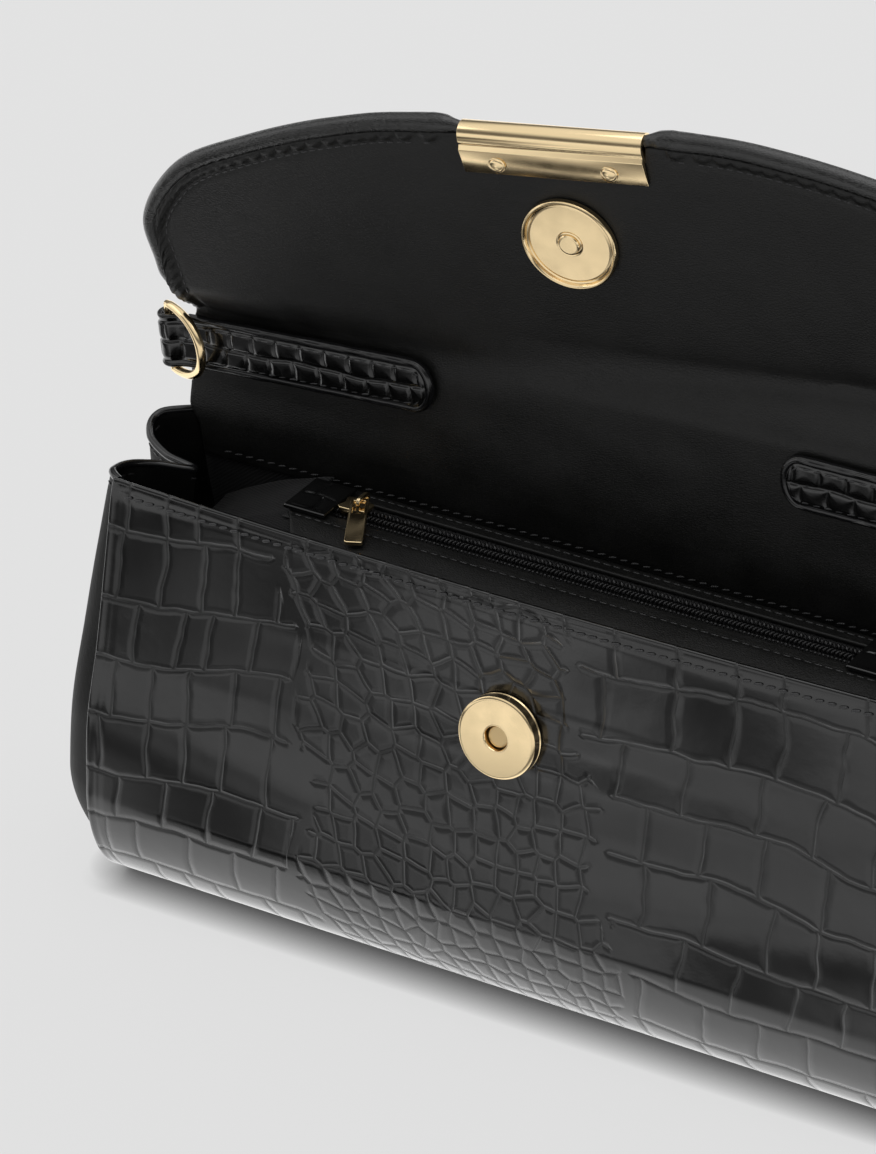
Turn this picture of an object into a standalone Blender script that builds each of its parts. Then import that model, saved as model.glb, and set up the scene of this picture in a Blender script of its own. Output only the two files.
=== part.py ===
"""Clutch bag with a folding flap, magnetic snap, recessed zip and two D-rings.

Metres, +Z up. The bag stands on its flat base: the origin is the base's centre, X runs
along the width, -Y is the front and the flap is hinged along the top of the back. The
flap stands open. It folds at the spine, over the mouth, and again at its crease, down
the front, where the dish in its lining closes over the disc on the front panel.
"""

import math

import bmesh
import bpy
from mathutils import Matrix, Vector

# Overall sizes of the body, and how its walls stand out at mid-width
HALF_WIDTH = 0.112
BODY_HEIGHT = 0.111
TOP_HALF_DEPTH = 0.0225
BELLY_HALF_DEPTH = 0.038
BELLY_HEIGHT = 0.030
BASE_HALF_DEPTH = 0.017
WALL_RISE = BODY_HEIGHT - BELLY_HEIGHT
SHOULDERS = (  # height, half depth
    (BELLY_HEIGHT + WALL_RISE * 0.247, 0.0366),
    (BELLY_HEIGHT + WALL_RISE * 0.4815, 0.0314),
    (BELLY_HEIGHT + WALL_RISE * 0.7407, 0.0268),
)
SNAP_HEIGHT = 0.0750
CUP_RADIUS = 0.0105
FRONT_BOW = (  # height, how far it stands out: pressed in around the snap
    (BELLY_HEIGHT, 0.0),
    ((BELLY_HEIGHT + SNAP_HEIGHT) / 2 - CUP_RADIUS, -0.0030),
    (SNAP_HEIGHT - 2 * CUP_RADIUS, -0.0055),
    (SNAP_HEIGHT - CUP_RADIUS, -0.0052),
    (SNAP_HEIGHT, -0.0040),
    (SNAP_HEIGHT + CUP_RADIUS, -0.0032),
    (BODY_HEIGHT, 0.0030),
)
BACK_BOW = ((BELLY_HEIGHT, 0.0), (BODY_HEIGHT, 0.0020))  # height, how far it stands out
BACK_EXTRA = 0.003  # the back panel is this much wider than the front at its top
WALL_SHARE = 0.80  # of a front sheet's run; the rest lies on the base
TURN_SHARE = 0.62  # of a wall's run, down to the belly

# Sheet thicknesses and the clearance between layers
LEATHER = 0.0013
BOARD = 0.0008
TWILL = 0.0008
SOFT_LEATHER = 0.0010
GAP = 0.0003
WALL_GAP = 0.0005  # between the layers of the curved walls
LINING_INSET = LEATHER + WALL_GAP + BOARD + WALL_GAP
LINING_TOP = BODY_HEIGHT - 0.0025
BASE_BOARD = 0.0016
LAYER_MARGIN = 0.0034  # inner layers end this far inside the panels' side edges
CARD_FOOT = 0.034
CARD_TOP = BODY_HEIGHT - 0.008  # of the front wall's card
CUTTER_DEPTH = 0.010

# Gusset
GUSSET_SHEET = 0.0012
GUSSET_EDGE = 0.0010  # the gusset starts this far inside the panels' side edge
GUSSET_FOOT = 0.0036
RIM_FRONT = BODY_HEIGHT - 0.0010
RIM_BACK = BODY_HEIGHT + 0.0005
# (share of the depth, outwards at the rim, at the belly, at the foot, fall of the rim)
GUSSET_LOBES = (
    (0.00, 0.0000, 0.0000, 0.0000, 0.0000),
    (0.05, 0.0032, 0.0105, 0.0022, 0.0001),
    (0.11, 0.0052, 0.0165, 0.0034, 0.0004),
    (0.29, 0.0052, 0.0150, 0.0030, 0.0022),
    (0.43, 0.0012, 0.0070, 0.0016, 0.0040),
    (0.55, -0.0068, -0.0010, 0.0008, 0.0056),
    (0.62, 0.0030, 0.0050, 0.0014, 0.0060),
    (0.72, 0.0105, 0.0102, 0.0018, 0.0042),
    (0.88, 0.0115, 0.0090, 0.0012, 0.0014),
    (1.00, 0.0030, 0.0010, 0.0000, 0.0000),
)

# Zip, set into the mouth
ZIP_LEFT = 0.0370 - HALF_WIDTH
ZIP_RIGHT = HALF_WIDTH - 0.0225
ZIP_CENTRE_Y = 0.0048
ZIP_HEIGHT = BODY_HEIGHT - 0.0080
COIL_WIDTH = 0.0018
COIL_THICKNESS = 0.0018
WEDGE = 0.0004  # the slider's dividing plate, which runs between the coils
TAPE_WIDTH = 0.0080
TAPE_SHEET = 0.0006
TAB_LENGTH = 0.0110
TAB_WIDTH = 0.0150
TAB_SHEET = 0.0013
FRONT_FACING_DROP = 0.0050  # the facings fall by this much from the tape to the walls
BACK_FACING_DROP = 0.0075
BACK_FACING_FOOT = BODY_HEIGHT - 0.0115
FACING_SHEET = 0.0010
FACING_SETBACK = 0.0028  # from the coil's edge to the facing's
SLIDER_START = 0.0006
SLIDER_LENGTH = 0.0082
SLIDER_WIDTH = 0.0062
SLIDER_PLATE = 0.0010
WEDGE_SETBACK = 0.0010
WEDGE_RUN = 0.0050
BRIDGE_WIDTH = 0.0009
BRIDGE_REACH = 0.0028
BRIDGE_LEG = 0.0009
PULL_LENGTH = 0.0165
PULL_WIDTH = 0.0046
PULL_TURN = math.radians(25)  # its swing to the right, as it lies
PULL_SHEET = 0.0011
PULL_RISE = 0.0014  # its axis above the slider
PULL_WINDOW = 0.0052
PULL_BAR = 0.0009
PULL_AHEAD = 0.0021  # how far its cross-bar lies behind the arch's front leg
PULL_ASIDE = 0.0003
ARCH_AHEAD = 0.0020  # how far the arch stands towards the slider's nose

# Magnetic snap
CUP_SEAT = 0.0004
CUP_HEIGHT = 0.0033
CUP_WALL = 0.0005
CUP_HOLE = 0.0031
CORE_RECESS = 0.0012
DISH_RADIUS = 0.01225
DISH_RIM = 0.0012
DISH_RIM_HEIGHT = 0.0016
DISH_FLOOR = 0.0006
NUB_RADIUS = 0.0027
NUB_HEIGHT = 0.0011
NUB_SEAT = 0.0003
WASHER_RADIUS = 0.0070
WASHER_SHEET = 0.0008

# Flap: where it is hinged and how it stands
HINGE_Y = 0.0204
HINGE_HEIGHT = BODY_HEIGHT + 0.0062
SPINE_LEAN = math.radians(2.5)  # forwards
SPINE_HALF_WIDTH = HALF_WIDTH + 0.0030
SPINE_FOOT = 0.0030
SPINE_TOP = 0.0285
SPINE_SLANT = math.radians(2.5)  # its top edge rises to the right
CREASE_Y = 0.0215
CREASE_HEIGHT = HINGE_HEIGHT + 0.0386
FOLD_SHEET = 0.0030
FLAP_YAW = math.radians(5.5)
FLAP_LEAN = math.radians(9.5)
FLAP_ROLL = math.radians(7.6)
CREASE_SLANT = math.radians(3.5)
SPINE_TURN = math.radians(80)  # from this stand to closed

# Flap outline, from the crease to the tip, as (across, along) of the right half
FLAP_OUTLINE = (
    (0.1155, 0.0000),
    (0.1168, 0.0150),
    (0.1168, 0.0290),
    (0.1045, 0.0440),
    (0.0860, 0.0523),
    (0.0600, 0.0598),
    (0.0320, 0.0634),
)
ROLL_RADIUS = 0.0025
FLAP_BOARD = 0.0012
BAR_HALF_LENGTH = 0.0237
BAR_TOP = 0.0622
BAR_BEAD_RADIUS = 0.0033
BAR_PLATE = 0.0008
BAR_PLATE_FOOT = 0.0497
RIVET_OFFSET = 0.0145
RIVET_RADIUS = 0.00215
RIVET_HEIGHT = 0.0009
RIVET_ALONG = 0.0527
RIVET_EDGE = 0.00012
DISH_ALONG = 0.0318

# Strap tabs and D-rings
STRAP_WIDTH = 0.0146
STRAP_SHEET = 0.0025
STRAP_LENGTH = 0.0755  # from the ring's bar to the tip
TIP_ROUNDING = 0.80
STRAPS = (  # side, then the ring bar's place across and along the spine, then the rise to the tip
    ("left", -1, 0.1192, 0.0142, math.radians(4.1)),
    ("right", 1, 0.1257, 0.0226, math.radians(-0.8)),
)
RING_WIRE = 0.0012
RING_HALF_WIDTH = 0.0089
RING_DEPTH = 0.0135
RING_FOLD = math.radians(25)
RING_SQUARENESS = 0.75
EYE_WALL = 0.0014

# Layer places through the flap's thickness, from its middle plane; + is the lining side
FLAP_OUTER_FACE = -(FLAP_BOARD / 2 + GAP + LEATHER)
FLAP_LINING_FACE = FLAP_BOARD / 2 + GAP + SOFT_LEATHER
DISH_FACE = FLAP_LINING_FACE + GAP + DISH_FLOOR

COLOURS = {
    "croc_leather": ((0.012, 0.012, 0.013), 0.22, 0.0),
    "smooth_leather": ((0.010, 0.010, 0.010), 0.42, 0.0),
    "twill": ((0.008, 0.008, 0.009), 0.85, 0.0),
    "nylon": ((0.011, 0.011, 0.012), 0.5, 0.0),
    "board": ((0.35, 0.30, 0.24), 0.8, 0.0),
    "gold": ((0.83, 0.66, 0.40), 0.16, 1.0),
    "steel": ((0.55, 0.55, 0.56), 0.35, 1.0),
    "magnet": ((0.06, 0.06, 0.065), 0.5, 1.0),
}


def clear_scene():
    """Removes what the startup scene holds."""
    for obj in list(bpy.data.objects):
        bpy.data.objects.remove(obj)


def make_collections():
    """The collection of the parts and the one of their cutters."""
    found = []
    for name in ("clutch_bag", "cutters"):
        collection = bpy.data.collections.new(name)
        bpy.context.scene.collection.children.link(collection)
        found.append(collection)
    found[1].hide_render = True
    return found


def material_for(node, finish):
    """A Principled material of the node's own, in one of the finishes."""
    colour, roughness, metallic = COLOURS[finish]
    material = bpy.data.materials.new(node)
    material.use_nodes = True
    shader = material.node_tree.nodes["Principled BSDF"]
    shader.inputs["Base Color"].default_value = (*colour, 1.0)
    shader.inputs["Roughness"].default_value = roughness
    shader.inputs["Metallic"].default_value = metallic
    return material


def place(obj, finish, pivot=None):
    """Links an object, gives it its material and hangs it on its joint's empty."""
    PARTS.objects.link(obj)
    obj.data.materials.append(material_for(obj.name, finish))
    if pivot is not None:
        obj.parent = pivot
        obj.matrix_parent_inverse = pivot.matrix_world.inverted()
    return obj


def pivot_at(name, point, axis):
    """An empty on a joint's axis, its Z along the axis."""
    pivot = bpy.data.objects.new(name, None)
    turn = Vector((0, 0, 1)).rotation_difference(axis)
    pivot.matrix_world = Matrix.Translation(point) @ turn.to_matrix().to_4x4()
    PARTS.objects.link(pivot)
    return pivot


def spline_at(stations, value):
    """A smooth curve through stations (x, y), read at one x, with its ends held."""
    last = len(stations) - 1
    k = 0
    while k < last - 1 and value > stations[k + 1][0]:
        k += 1
    x0, y0 = stations[k]
    x1, y1 = stations[k + 1]
    slopes = []
    for i in (k, k + 1):
        low = stations[max(i - 1, 0)]
        high = stations[min(i + 1, last)]
        slopes.append((high[1] - low[1]) / (high[0] - low[0]))
    share = min(max((value - x0) / (x1 - x0), 0.0), 1.0)
    h = x1 - x0
    a = 2 * share**3 - 3 * share**2 + 1
    b = share**3 - 2 * share**2 + share
    c = 3 * share**2 - 2 * share**3
    d = share**3 - share**2
    return a * y0 + b * h * slopes[0] + c * y1 + d * h * slopes[1]


def half_depth(height, inset=0.0):
    """Half the body's depth at a height, drawn in by an inset: an ellipse below the belly."""
    if height >= BELLY_HEIGHT:
        stations = ((BELLY_HEIGHT, BELLY_HALF_DEPTH), *SHOULDERS, (BODY_HEIGHT, TOP_HALF_DEPTH))
        return spline_at(stations, min(height, BODY_HEIGHT)) - inset
    across = BELLY_HALF_DEPTH - BASE_HALF_DEPTH - inset
    drop = min((BELLY_HEIGHT - height) / (BELLY_HEIGHT - inset), 1.0)
    return BASE_HALF_DEPTH + across * math.sqrt(1 - drop * drop)


def bow(x, height, stations):
    """How far a wall stands out towards mid-width, by its stations; nothing at its side edges."""
    height = min(max(height, BELLY_HEIGHT), BODY_HEIGHT)
    return spline_at(stations, height) * max(1 - (x / HALF_WIDTH) ** 2, 0.0)


def wall_depth(height):
    """How far the front wall stands from the middle plane, at mid-width."""
    return half_depth(height) + bow(0, height, FRONT_BOW)


def wall_point(side, x, share, inset, top, floor):
    """A point on a wall's path: share 0 at the top, 1 at the base; side -1 front, 1 back."""
    if share < TURN_SHARE:
        height = top + (BELLY_HEIGHT - top) * share / TURN_SHARE
        y = half_depth(height, inset)
    else:
        angle = math.pi / 2 * (share - TURN_SHARE) / (1 - TURN_SHARE)
        across = BELLY_HALF_DEPTH - BASE_HALF_DEPTH - inset
        y = BASE_HALF_DEPTH + across * math.cos(angle)
        height = BELLY_HEIGHT - (BELLY_HEIGHT - inset) * math.sin(angle)
    most = FRONT_BOW if side < 0 else BACK_BOW
    return Vector((x, side * (y + bow(x, height, most)), max(height, floor)))


def sheet(name, finish, point, columns, rows, thickness, offset=-1.0, pivot=None):
    """A sheet with Solidify: point(across, down), both 0 to 1, gives its surface."""
    mesh = bpy.data.meshes.new(name)
    bm = bmesh.new()
    bmesh.ops.create_grid(bm, x_segments=columns, y_segments=rows, size=0.5)
    for vertex in bm.verts:
        vertex.co = point(vertex.co.x + 0.5, vertex.co.y + 0.5)
    bm.to_mesh(mesh)
    bm.free()
    obj = bpy.data.objects.new(name, mesh)
    modifier = obj.modifiers.new("thickness", "SOLIDIFY")
    modifier.thickness = thickness
    modifier.offset = offset
    modifier.use_even_offset = True
    mesh.shade_smooth()
    return place(obj, finish, pivot)


def box(name, finish, low, high, frame=None, pivot=None):
    """A box between two corners, in a frame's own axes when one is given."""
    mesh = bpy.data.meshes.new(name)
    bm = bmesh.new()
    size = Vector(high) - Vector(low)
    middle = (Vector(high) + Vector(low)) / 2
    matrix = Matrix.Translation(middle) @ Matrix.Diagonal((*size, 1.0))
    bmesh.ops.create_cube(bm, size=1.0, matrix=matrix)
    bm.to_mesh(mesh)
    bm.free()
    obj = bpy.data.objects.new(name, mesh)
    if frame is not None:
        obj.matrix_world = frame
    return place(obj, finish, pivot)


def turned(name, finish, profile, frame, pivot=None, steps=32):
    """A turned piece: the profile is (radius, height) pairs, run down its outer side."""
    mesh = bpy.data.meshes.new(name)
    bm = bmesh.new()
    points = [bm.verts.new((radius, 0.0, height)) for radius, height in profile]
    closed = min(radius for radius, _ in profile) > 0
    pairs = list(zip(points, points[1:]))
    if closed:
        pairs.append((points[-1], points[0]))
    for first, second in pairs:
        bm.edges.new((first, second))
    bm.to_mesh(mesh)
    bm.free()
    obj = bpy.data.objects.new(name, mesh)
    screw = obj.modifiers.new("turn", "SCREW")
    screw.steps = steps
    screw.render_steps = steps
    screw.use_merge_vertices = True
    screw.merge_threshold = 0.00001
    obj.matrix_world = frame
    return place(obj, finish, pivot)


def flat_shape(name, outline, thickness, frame, window=None):
    """A flat outline with thickness, centred on the frame's plane, as a 2D curve object."""
    curve = bpy.data.curves.new(name, "CURVE")
    curve.dimensions = "2D"
    curve.fill_mode = "BOTH"
    curve.extrude = thickness / 2
    for loop in (outline, window):
        if loop is None:
            continue
        spline = curve.splines.new("POLY")
        spline.points.add(len(loop) - 1)
        for target, (x, y) in zip(spline.points, loop):
            target.co = (x, y, 0.0, 1.0)
        spline.use_cyclic_u = True
    obj = bpy.data.objects.new(name, curve)
    obj.matrix_world = frame
    return obj


def tube(name, finish, points, radius, cyclic=False, pivot=None, resolution=2):
    """A round wire or roll along points in world space, with filled caps."""
    curve = bpy.data.curves.new(name, "CURVE")
    curve.dimensions = "3D"
    curve.bevel_depth = radius
    curve.bevel_resolution = resolution
    curve.use_fill_caps = True
    spline = curve.splines.new("POLY")
    spline.points.add(len(points) - 1)
    for target, point in zip(spline.points, points):
        target.co = (*point, 1.0)
    spline.use_cyclic_u = cyclic
    return place(bpy.data.objects.new(name, curve), finish, pivot)


def to_mesh(obj, near=0.00001):
    """A curve object made a welded mesh object, in place."""
    bpy.context.view_layer.update()
    graph = bpy.context.evaluated_depsgraph_get()
    mesh = bpy.data.meshes.new_from_object(obj.evaluated_get(graph))
    bm = bmesh.new()
    bm.from_mesh(mesh)
    bmesh.ops.remove_doubles(bm, verts=bm.verts, dist=near)
    bmesh.ops.recalc_face_normals(bm, faces=bm.faces)
    bm.to_mesh(mesh)
    bm.free()
    name, matrix = obj.name, obj.matrix_world.copy()
    bpy.data.objects.remove(obj)
    made = bpy.data.objects.new(name, mesh)
    made.matrix_world = matrix
    return made


def cutter(name, radius, depth, frame):
    """A round cutter or added piece about a frame's Z, kept out of the render."""
    mesh = bpy.data.meshes.new(name)
    bm = bmesh.new()
    bmesh.ops.create_cone(
        bm, cap_ends=True, segments=40, radius1=radius, radius2=radius, depth=depth
    )
    bm.to_mesh(mesh)
    bm.free()
    obj = bpy.data.objects.new(name, mesh)
    obj.matrix_world = frame
    obj.hide_render = True
    obj.display_type = "WIRE"
    CUTTERS.objects.link(obj)
    return obj


def combine(obj, other, operation):
    """Adds an exact Boolean to an object."""
    modifier = obj.modifiers.new(other.name, "BOOLEAN")
    modifier.operation = operation
    modifier.object = other


def frame_of(origin, across, along):
    """A frame with X across, Y along and Z towards the lining side."""
    facing = across.cross(along)
    rows = Matrix((across, along, facing)).transposed().to_4x4()
    return Matrix.Translation(origin) @ rows


def body_panels():
    """The embossed shell: front and base in one, the back, and the card inside them."""
    def front(across, down):
        x = (across - 0.5) * 2 * HALF_WIDTH
        if down < WALL_SHARE:
            return wall_point(-1, x, down / WALL_SHARE, 0.0, BODY_HEIGHT, 0.0)
        run = (down - WALL_SHARE) / (1 - WALL_SHARE)
        return Vector((x, BASE_HALF_DEPTH * (2 * run - 1), 0.0))

    def back(across, down):
        share = 1 - down
        top = HINGE_HEIGHT - SPINE_FOOT - GAP * 3
        half = HALF_WIDTH + BACK_EXTRA * down
        x = (across - 0.5) * 2 * half
        point = wall_point(1, x, share, 0.0, top, 0.0)
        if share > 0.99:
            point.y += GAP
        return point

    sheet("front_panel", "croc_leather", front, 12, 22, LEATHER, 1.0)
    sheet("back_panel", "croc_leather", back, 10, 18, LEATHER, 1.0)
    half = HALF_WIDTH - LAYER_MARGIN
    box(
        "base_board",
        "board",
        (-half, -BASE_HALF_DEPTH + GAP, LEATHER + GAP),
        (half, BASE_HALF_DEPTH - GAP, LEATHER + GAP + BASE_BOARD),
    )
    inset = LEATHER + WALL_GAP
    for name, side, top in (("front_board", -1, CARD_TOP), ("back_board", 1, BODY_HEIGHT)):
        def card(across, down, side=side, top=top):
            height = CARD_FOOT + (top - CARD_FOOT) * down
            x = side * (0.5 - across) * 2 * half
            most = FRONT_BOW if side < 0 else BACK_BOW
            y = half_depth(height, inset) + bow(x, height, most)
            return Vector((x, side * y, height))

        obj = sheet(name, "board", card, 12, 10, BOARD, -1.0)
        if side < 0:
            hole = WASHER_RADIUS + GAP
            combine(obj, cutter("washer_hole", hole, CUTTER_DEPTH, SNAP_FRAME), "DIFFERENCE")


def lining():
    """The twill lining, one sheet on the front and base and one on the back."""
    inset = LINING_INSET
    floor = LEATHER + GAP + BASE_BOARD + GAP
    half = HALF_WIDTH - LAYER_MARGIN

    def front(across, down):
        x = (across - 0.5) * 2 * half
        if down < WALL_SHARE:
            return wall_point(-1, x, down / WALL_SHARE, inset, LINING_TOP, floor)
        run = (down - WALL_SHARE) / (1 - WALL_SHARE)
        return Vector((x, BASE_HALF_DEPTH * (2 * run - 1), floor))

    def back(across, down):
        x = (across - 0.5) * 2 * half
        point = wall_point(1, x, 1 - down, inset, LINING_TOP, floor)
        if down < 0.01:
            point.y += GAP
        return point

    sheet("lining_front", "twill", front, 12, 18, TWILL, 1.0)
    sheet("lining_back", "twill", back, 8, 14, TWILL, 1.0)

    def facing(across, down):
        height = BACK_FACING_FOOT + (HINGE_HEIGHT - SPINE_FOOT - GAP * 3 - BACK_FACING_FOOT) * down
        x = (0.5 - across) * 2 * half
        y = half_depth(height, inset + TWILL + GAP) + bow(x, height, BACK_BOW)
        return Vector((x, y, height))

    sheet("back_facing", "smooth_leather", facing, 10, 4, SOFT_LEATHER, -1.0)


def gussets():
    """The bellows at each end: two lobes out and one fold in, flattening to the base."""
    inset = LEATHER + GAP + GUSSET_SHEET

    def surface(side):
        def point(across, down):
            share = across if side > 0 else 1 - across
            out = [spline_at([(row[0], row[k]) for row in GUSSET_LOBES], share) for k in (1, 2, 3, 4)]
            rim = RIM_FRONT + (RIM_BACK - RIM_FRONT) * share - out[3]
            height = GUSSET_FOOT + (rim - GUSSET_FOOT) * down
            if height > BELLY_HEIGHT:
                rise = (height - BELLY_HEIGHT) / (rim - BELLY_HEIGHT)
                lobe = out[1] + (out[0] - out[1]) * rise
            else:
                sink = (BELLY_HEIGHT - height) / (BELLY_HEIGHT - GUSSET_FOOT)
                lobe = out[1] + (out[2] - out[1]) * sink**2
            front = -half_depth(height, inset)
            back = half_depth(height, inset)
            x = HALF_WIDTH - GUSSET_EDGE + lobe
            return Vector((side * x, front + (back - front) * share, height))

        return point

    for name, side in (("gusset_left", -1), ("gusset_right", 1)):
        sheet(name, "smooth_leather", surface(side), 28, 9, GUSSET_SHEET, 0.0)


def facing_level(side, share):
    """The height of a facing's middle: level over the tape, then falling to the wall."""
    drop = FRONT_FACING_DROP if side < 0 else BACK_FACING_DROP
    return ZIP_HEIGHT + FACING_SHEET / 2 - drop * share**1.5


def zip_closure():
    """The zip's facings, tapes, coils and end tabs, with its slider and pull."""
    coil_gap = WEDGE / 2 + GAP
    coil_out = coil_gap + COIL_WIDTH
    tape_top = ZIP_HEIGHT - GAP
    tape_foot = tape_top - TAPE_SHEET
    lining_inset = LINING_INSET + TWILL
    coil_left = ZIP_LEFT + TAB_LENGTH + GAP
    coil_right = ZIP_RIGHT - TAB_LENGTH - GAP
    for name, side in (("front", -1), ("back", 1)):
        inner, outer = sorted((side * coil_gap, side * coil_out))
        box(
            f"zip_coil_{name}",
            "nylon",
            (coil_left, ZIP_CENTRE_Y + inner, ZIP_HEIGHT),
            (coil_right, ZIP_CENTRE_Y + outer, ZIP_HEIGHT + COIL_THICKNESS),
        )
        inner, outer = sorted((side * coil_gap, side * (coil_gap + TAPE_WIDTH)))
        box(
            f"zip_tape_{name}",
            "nylon",
            (ZIP_LEFT, ZIP_CENTRE_Y + inner, tape_foot),
            (ZIP_RIGHT, ZIP_CENTRE_Y + outer, tape_top),
        )
        end_level = facing_level(side, 1.0)
        wall = half_depth(end_level + FACING_SHEET, lining_inset + GAP)
        start = ZIP_CENTRE_Y + side * (coil_out + FACING_SETBACK)

        def facing(across, down, wall=wall, start=start, side=side, end_level=end_level):
            x = ZIP_LEFT + across * (ZIP_RIGHT - ZIP_LEFT)
            most = FRONT_BOW if side < 0 else BACK_BOW
            end = side * (wall + bow(x, end_level, most))
            share = down if side < 0 else 1 - down
            y = start + (end - start) * share
            flat = ZIP_CENTRE_Y + side * (coil_gap + TAPE_WIDTH)
            sloped = max((y - flat) / (end - flat), 0.0)
            return Vector((x, y, facing_level(side, sloped)))

        sheet(f"zip_facing_{name}", "smooth_leather", facing, 10, 6, FACING_SHEET, 0.0)
    for name, start in (("left", ZIP_LEFT), ("right", ZIP_RIGHT - TAB_LENGTH)):
        low = ZIP_HEIGHT + FACING_SHEET + GAP
        box(
            f"zip_tab_{name}",
            "croc_leather",
            (start, ZIP_CENTRE_Y - TAB_WIDTH / 2, low),
            (start + TAB_LENGTH, ZIP_CENTRE_Y + TAB_WIDTH / 2, low + TAB_SHEET),
        )
    zip_slider(coil_out)


def zip_slider(coil_out):
    """The slider at the left end of its run, and the pull that lies towards the front."""
    left = ZIP_LEFT + TAB_LENGTH + SLIDER_START
    right = left + SLIDER_LENGTH
    middle = (left + right) / 2
    top = ZIP_HEIGHT + COIL_THICKNESS + GAP
    foot = ZIP_HEIGHT - GAP - TAPE_SHEET - GAP - SLIDER_PLATE
    half = SLIDER_WIDTH / 2
    slider = plate_object(
        "zip_slider",
        [
            ((left, ZIP_CENTRE_Y - half, top), (right, ZIP_CENTRE_Y + half, top + SLIDER_PLATE)),
            ((left, ZIP_CENTRE_Y - half, foot), (right, ZIP_CENTRE_Y + half, foot + SLIDER_PLATE)),
            (
                (left + WEDGE_SETBACK, ZIP_CENTRE_Y - WEDGE / 2, foot + SLIDER_PLATE / 2),
                (left + WEDGE_SETBACK + WEDGE_RUN, ZIP_CENTRE_Y + WEDGE / 2, top + SLIDER_PLATE / 2),
            ),
            *bridge_boxes(middle + ARCH_AHEAD, top + SLIDER_PLATE),
        ],
    )
    slide = pivot_at("zip_slide_axis", Vector((middle, ZIP_CENTRE_Y, ZIP_HEIGHT)), Vector((1, 0, 0)))
    place(slider, "gold", slide)

    turn = Matrix.Rotation(PULL_TURN, 4, "Z")
    leg = BRIDGE_REACH - BRIDGE_LEG / 2
    axis = Vector((middle + ARCH_AHEAD, ZIP_CENTRE_Y - leg, top + SLIDER_PLATE + PULL_RISE))
    axis += turn @ Vector((PULL_ASIDE, PULL_AHEAD, 0))
    swing = pivot_at("zip_pull_axis", axis, turn @ Vector((1, 0, 0)))
    swing.parent = slide
    swing.matrix_parent_inverse = slide.matrix_world.inverted()
    half = PULL_WIDTH / 2
    bar = PULL_SHEET / 2
    corner = half * 0.4
    outline = [
        (half - bar, bar),
        (half, -bar),
        (half, corner - PULL_LENGTH),
        (half - corner, -PULL_LENGTH),
        (corner - half, -PULL_LENGTH),
        (-half, corner - PULL_LENGTH),
        (-half, -bar),
        (bar - half, bar),
    ]
    reach = half - PULL_BAR
    window = [(reach, -bar), (-reach, -bar), (-reach, -PULL_WINDOW), (reach, -PULL_WINDOW)]
    frame = Matrix.Translation(axis) @ turn @ Matrix.Rotation(pull_fall(axis, top), 4, "X")
    place(to_mesh(flat_shape("zip_pull", outline, PULL_SHEET, frame, window)), "gold", swing)


def pull_fall(axis, plate):
    """How steeply the pull lies from its axis, over the slider's edge and down the front facing."""
    run = math.cos(PULL_TURN)
    under = PULL_SHEET / 2 + GAP
    edge = (SLIDER_WIDTH / 2 + axis.y - ZIP_CENTRE_Y) / run
    falls = [(axis.z - plate - SLIDER_PLATE - under) / edge]
    flat = WEDGE / 2 + GAP + TAPE_WIDTH
    wall = half_depth(ZIP_HEIGHT) + ZIP_CENTRE_Y
    steps = 10
    for step in range(3, steps + 1):
        reach = PULL_LENGTH * step / steps
        share = max((reach * run + ZIP_CENTRE_Y - axis.y - flat) / (wall - flat), 0.0)
        top = facing_level(-1, share) + FACING_SHEET / 2
        falls.append((axis.z - top - under) / reach)
    return math.asin(min(falls))


def bridge_boxes(middle, low):
    """The slider's arch, which the pull's cross-bar lies under."""
    half = BRIDGE_WIDTH / 2
    reach = BRIDGE_REACH
    top = low + PULL_RISE + PULL_SHEET
    y = ZIP_CENTRE_Y
    leg = BRIDGE_LEG
    bite = SLIDER_PLATE / 2
    return (
        ((middle - half, y - reach, low - bite), (middle + half, y - reach + leg, top)),
        ((middle - half, y + reach - leg, low - bite), (middle + half, y + reach, top)),
        ((middle - half, y - reach, top - leg / 4), (middle + half, y + reach, top + leg)),
    )


def plate_object(name, boxes):
    """Overlapping boxes joined into one body by Boolean unions."""
    made = []
    for number, (low, high) in enumerate(boxes):
        mesh = bpy.data.meshes.new(f"{name}_{number}")
        bm = bmesh.new()
        size = Vector(high) - Vector(low)
        middle = (Vector(high) + Vector(low)) / 2
        bmesh.ops.create_cube(
            bm, size=1.0, matrix=Matrix.Translation(middle) @ Matrix.Diagonal((*size, 1.0))
        )
        bm.to_mesh(mesh)
        bm.free()
        made.append(bpy.data.objects.new(f"{name}_{number}" if number else name, mesh))
    first = made[0]
    for other in made[1:]:
        CUTTERS.objects.link(other)
        other.hide_render = True
        other.display_type = "WIRE"
        combine(first, other, "UNION")
    return first


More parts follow.
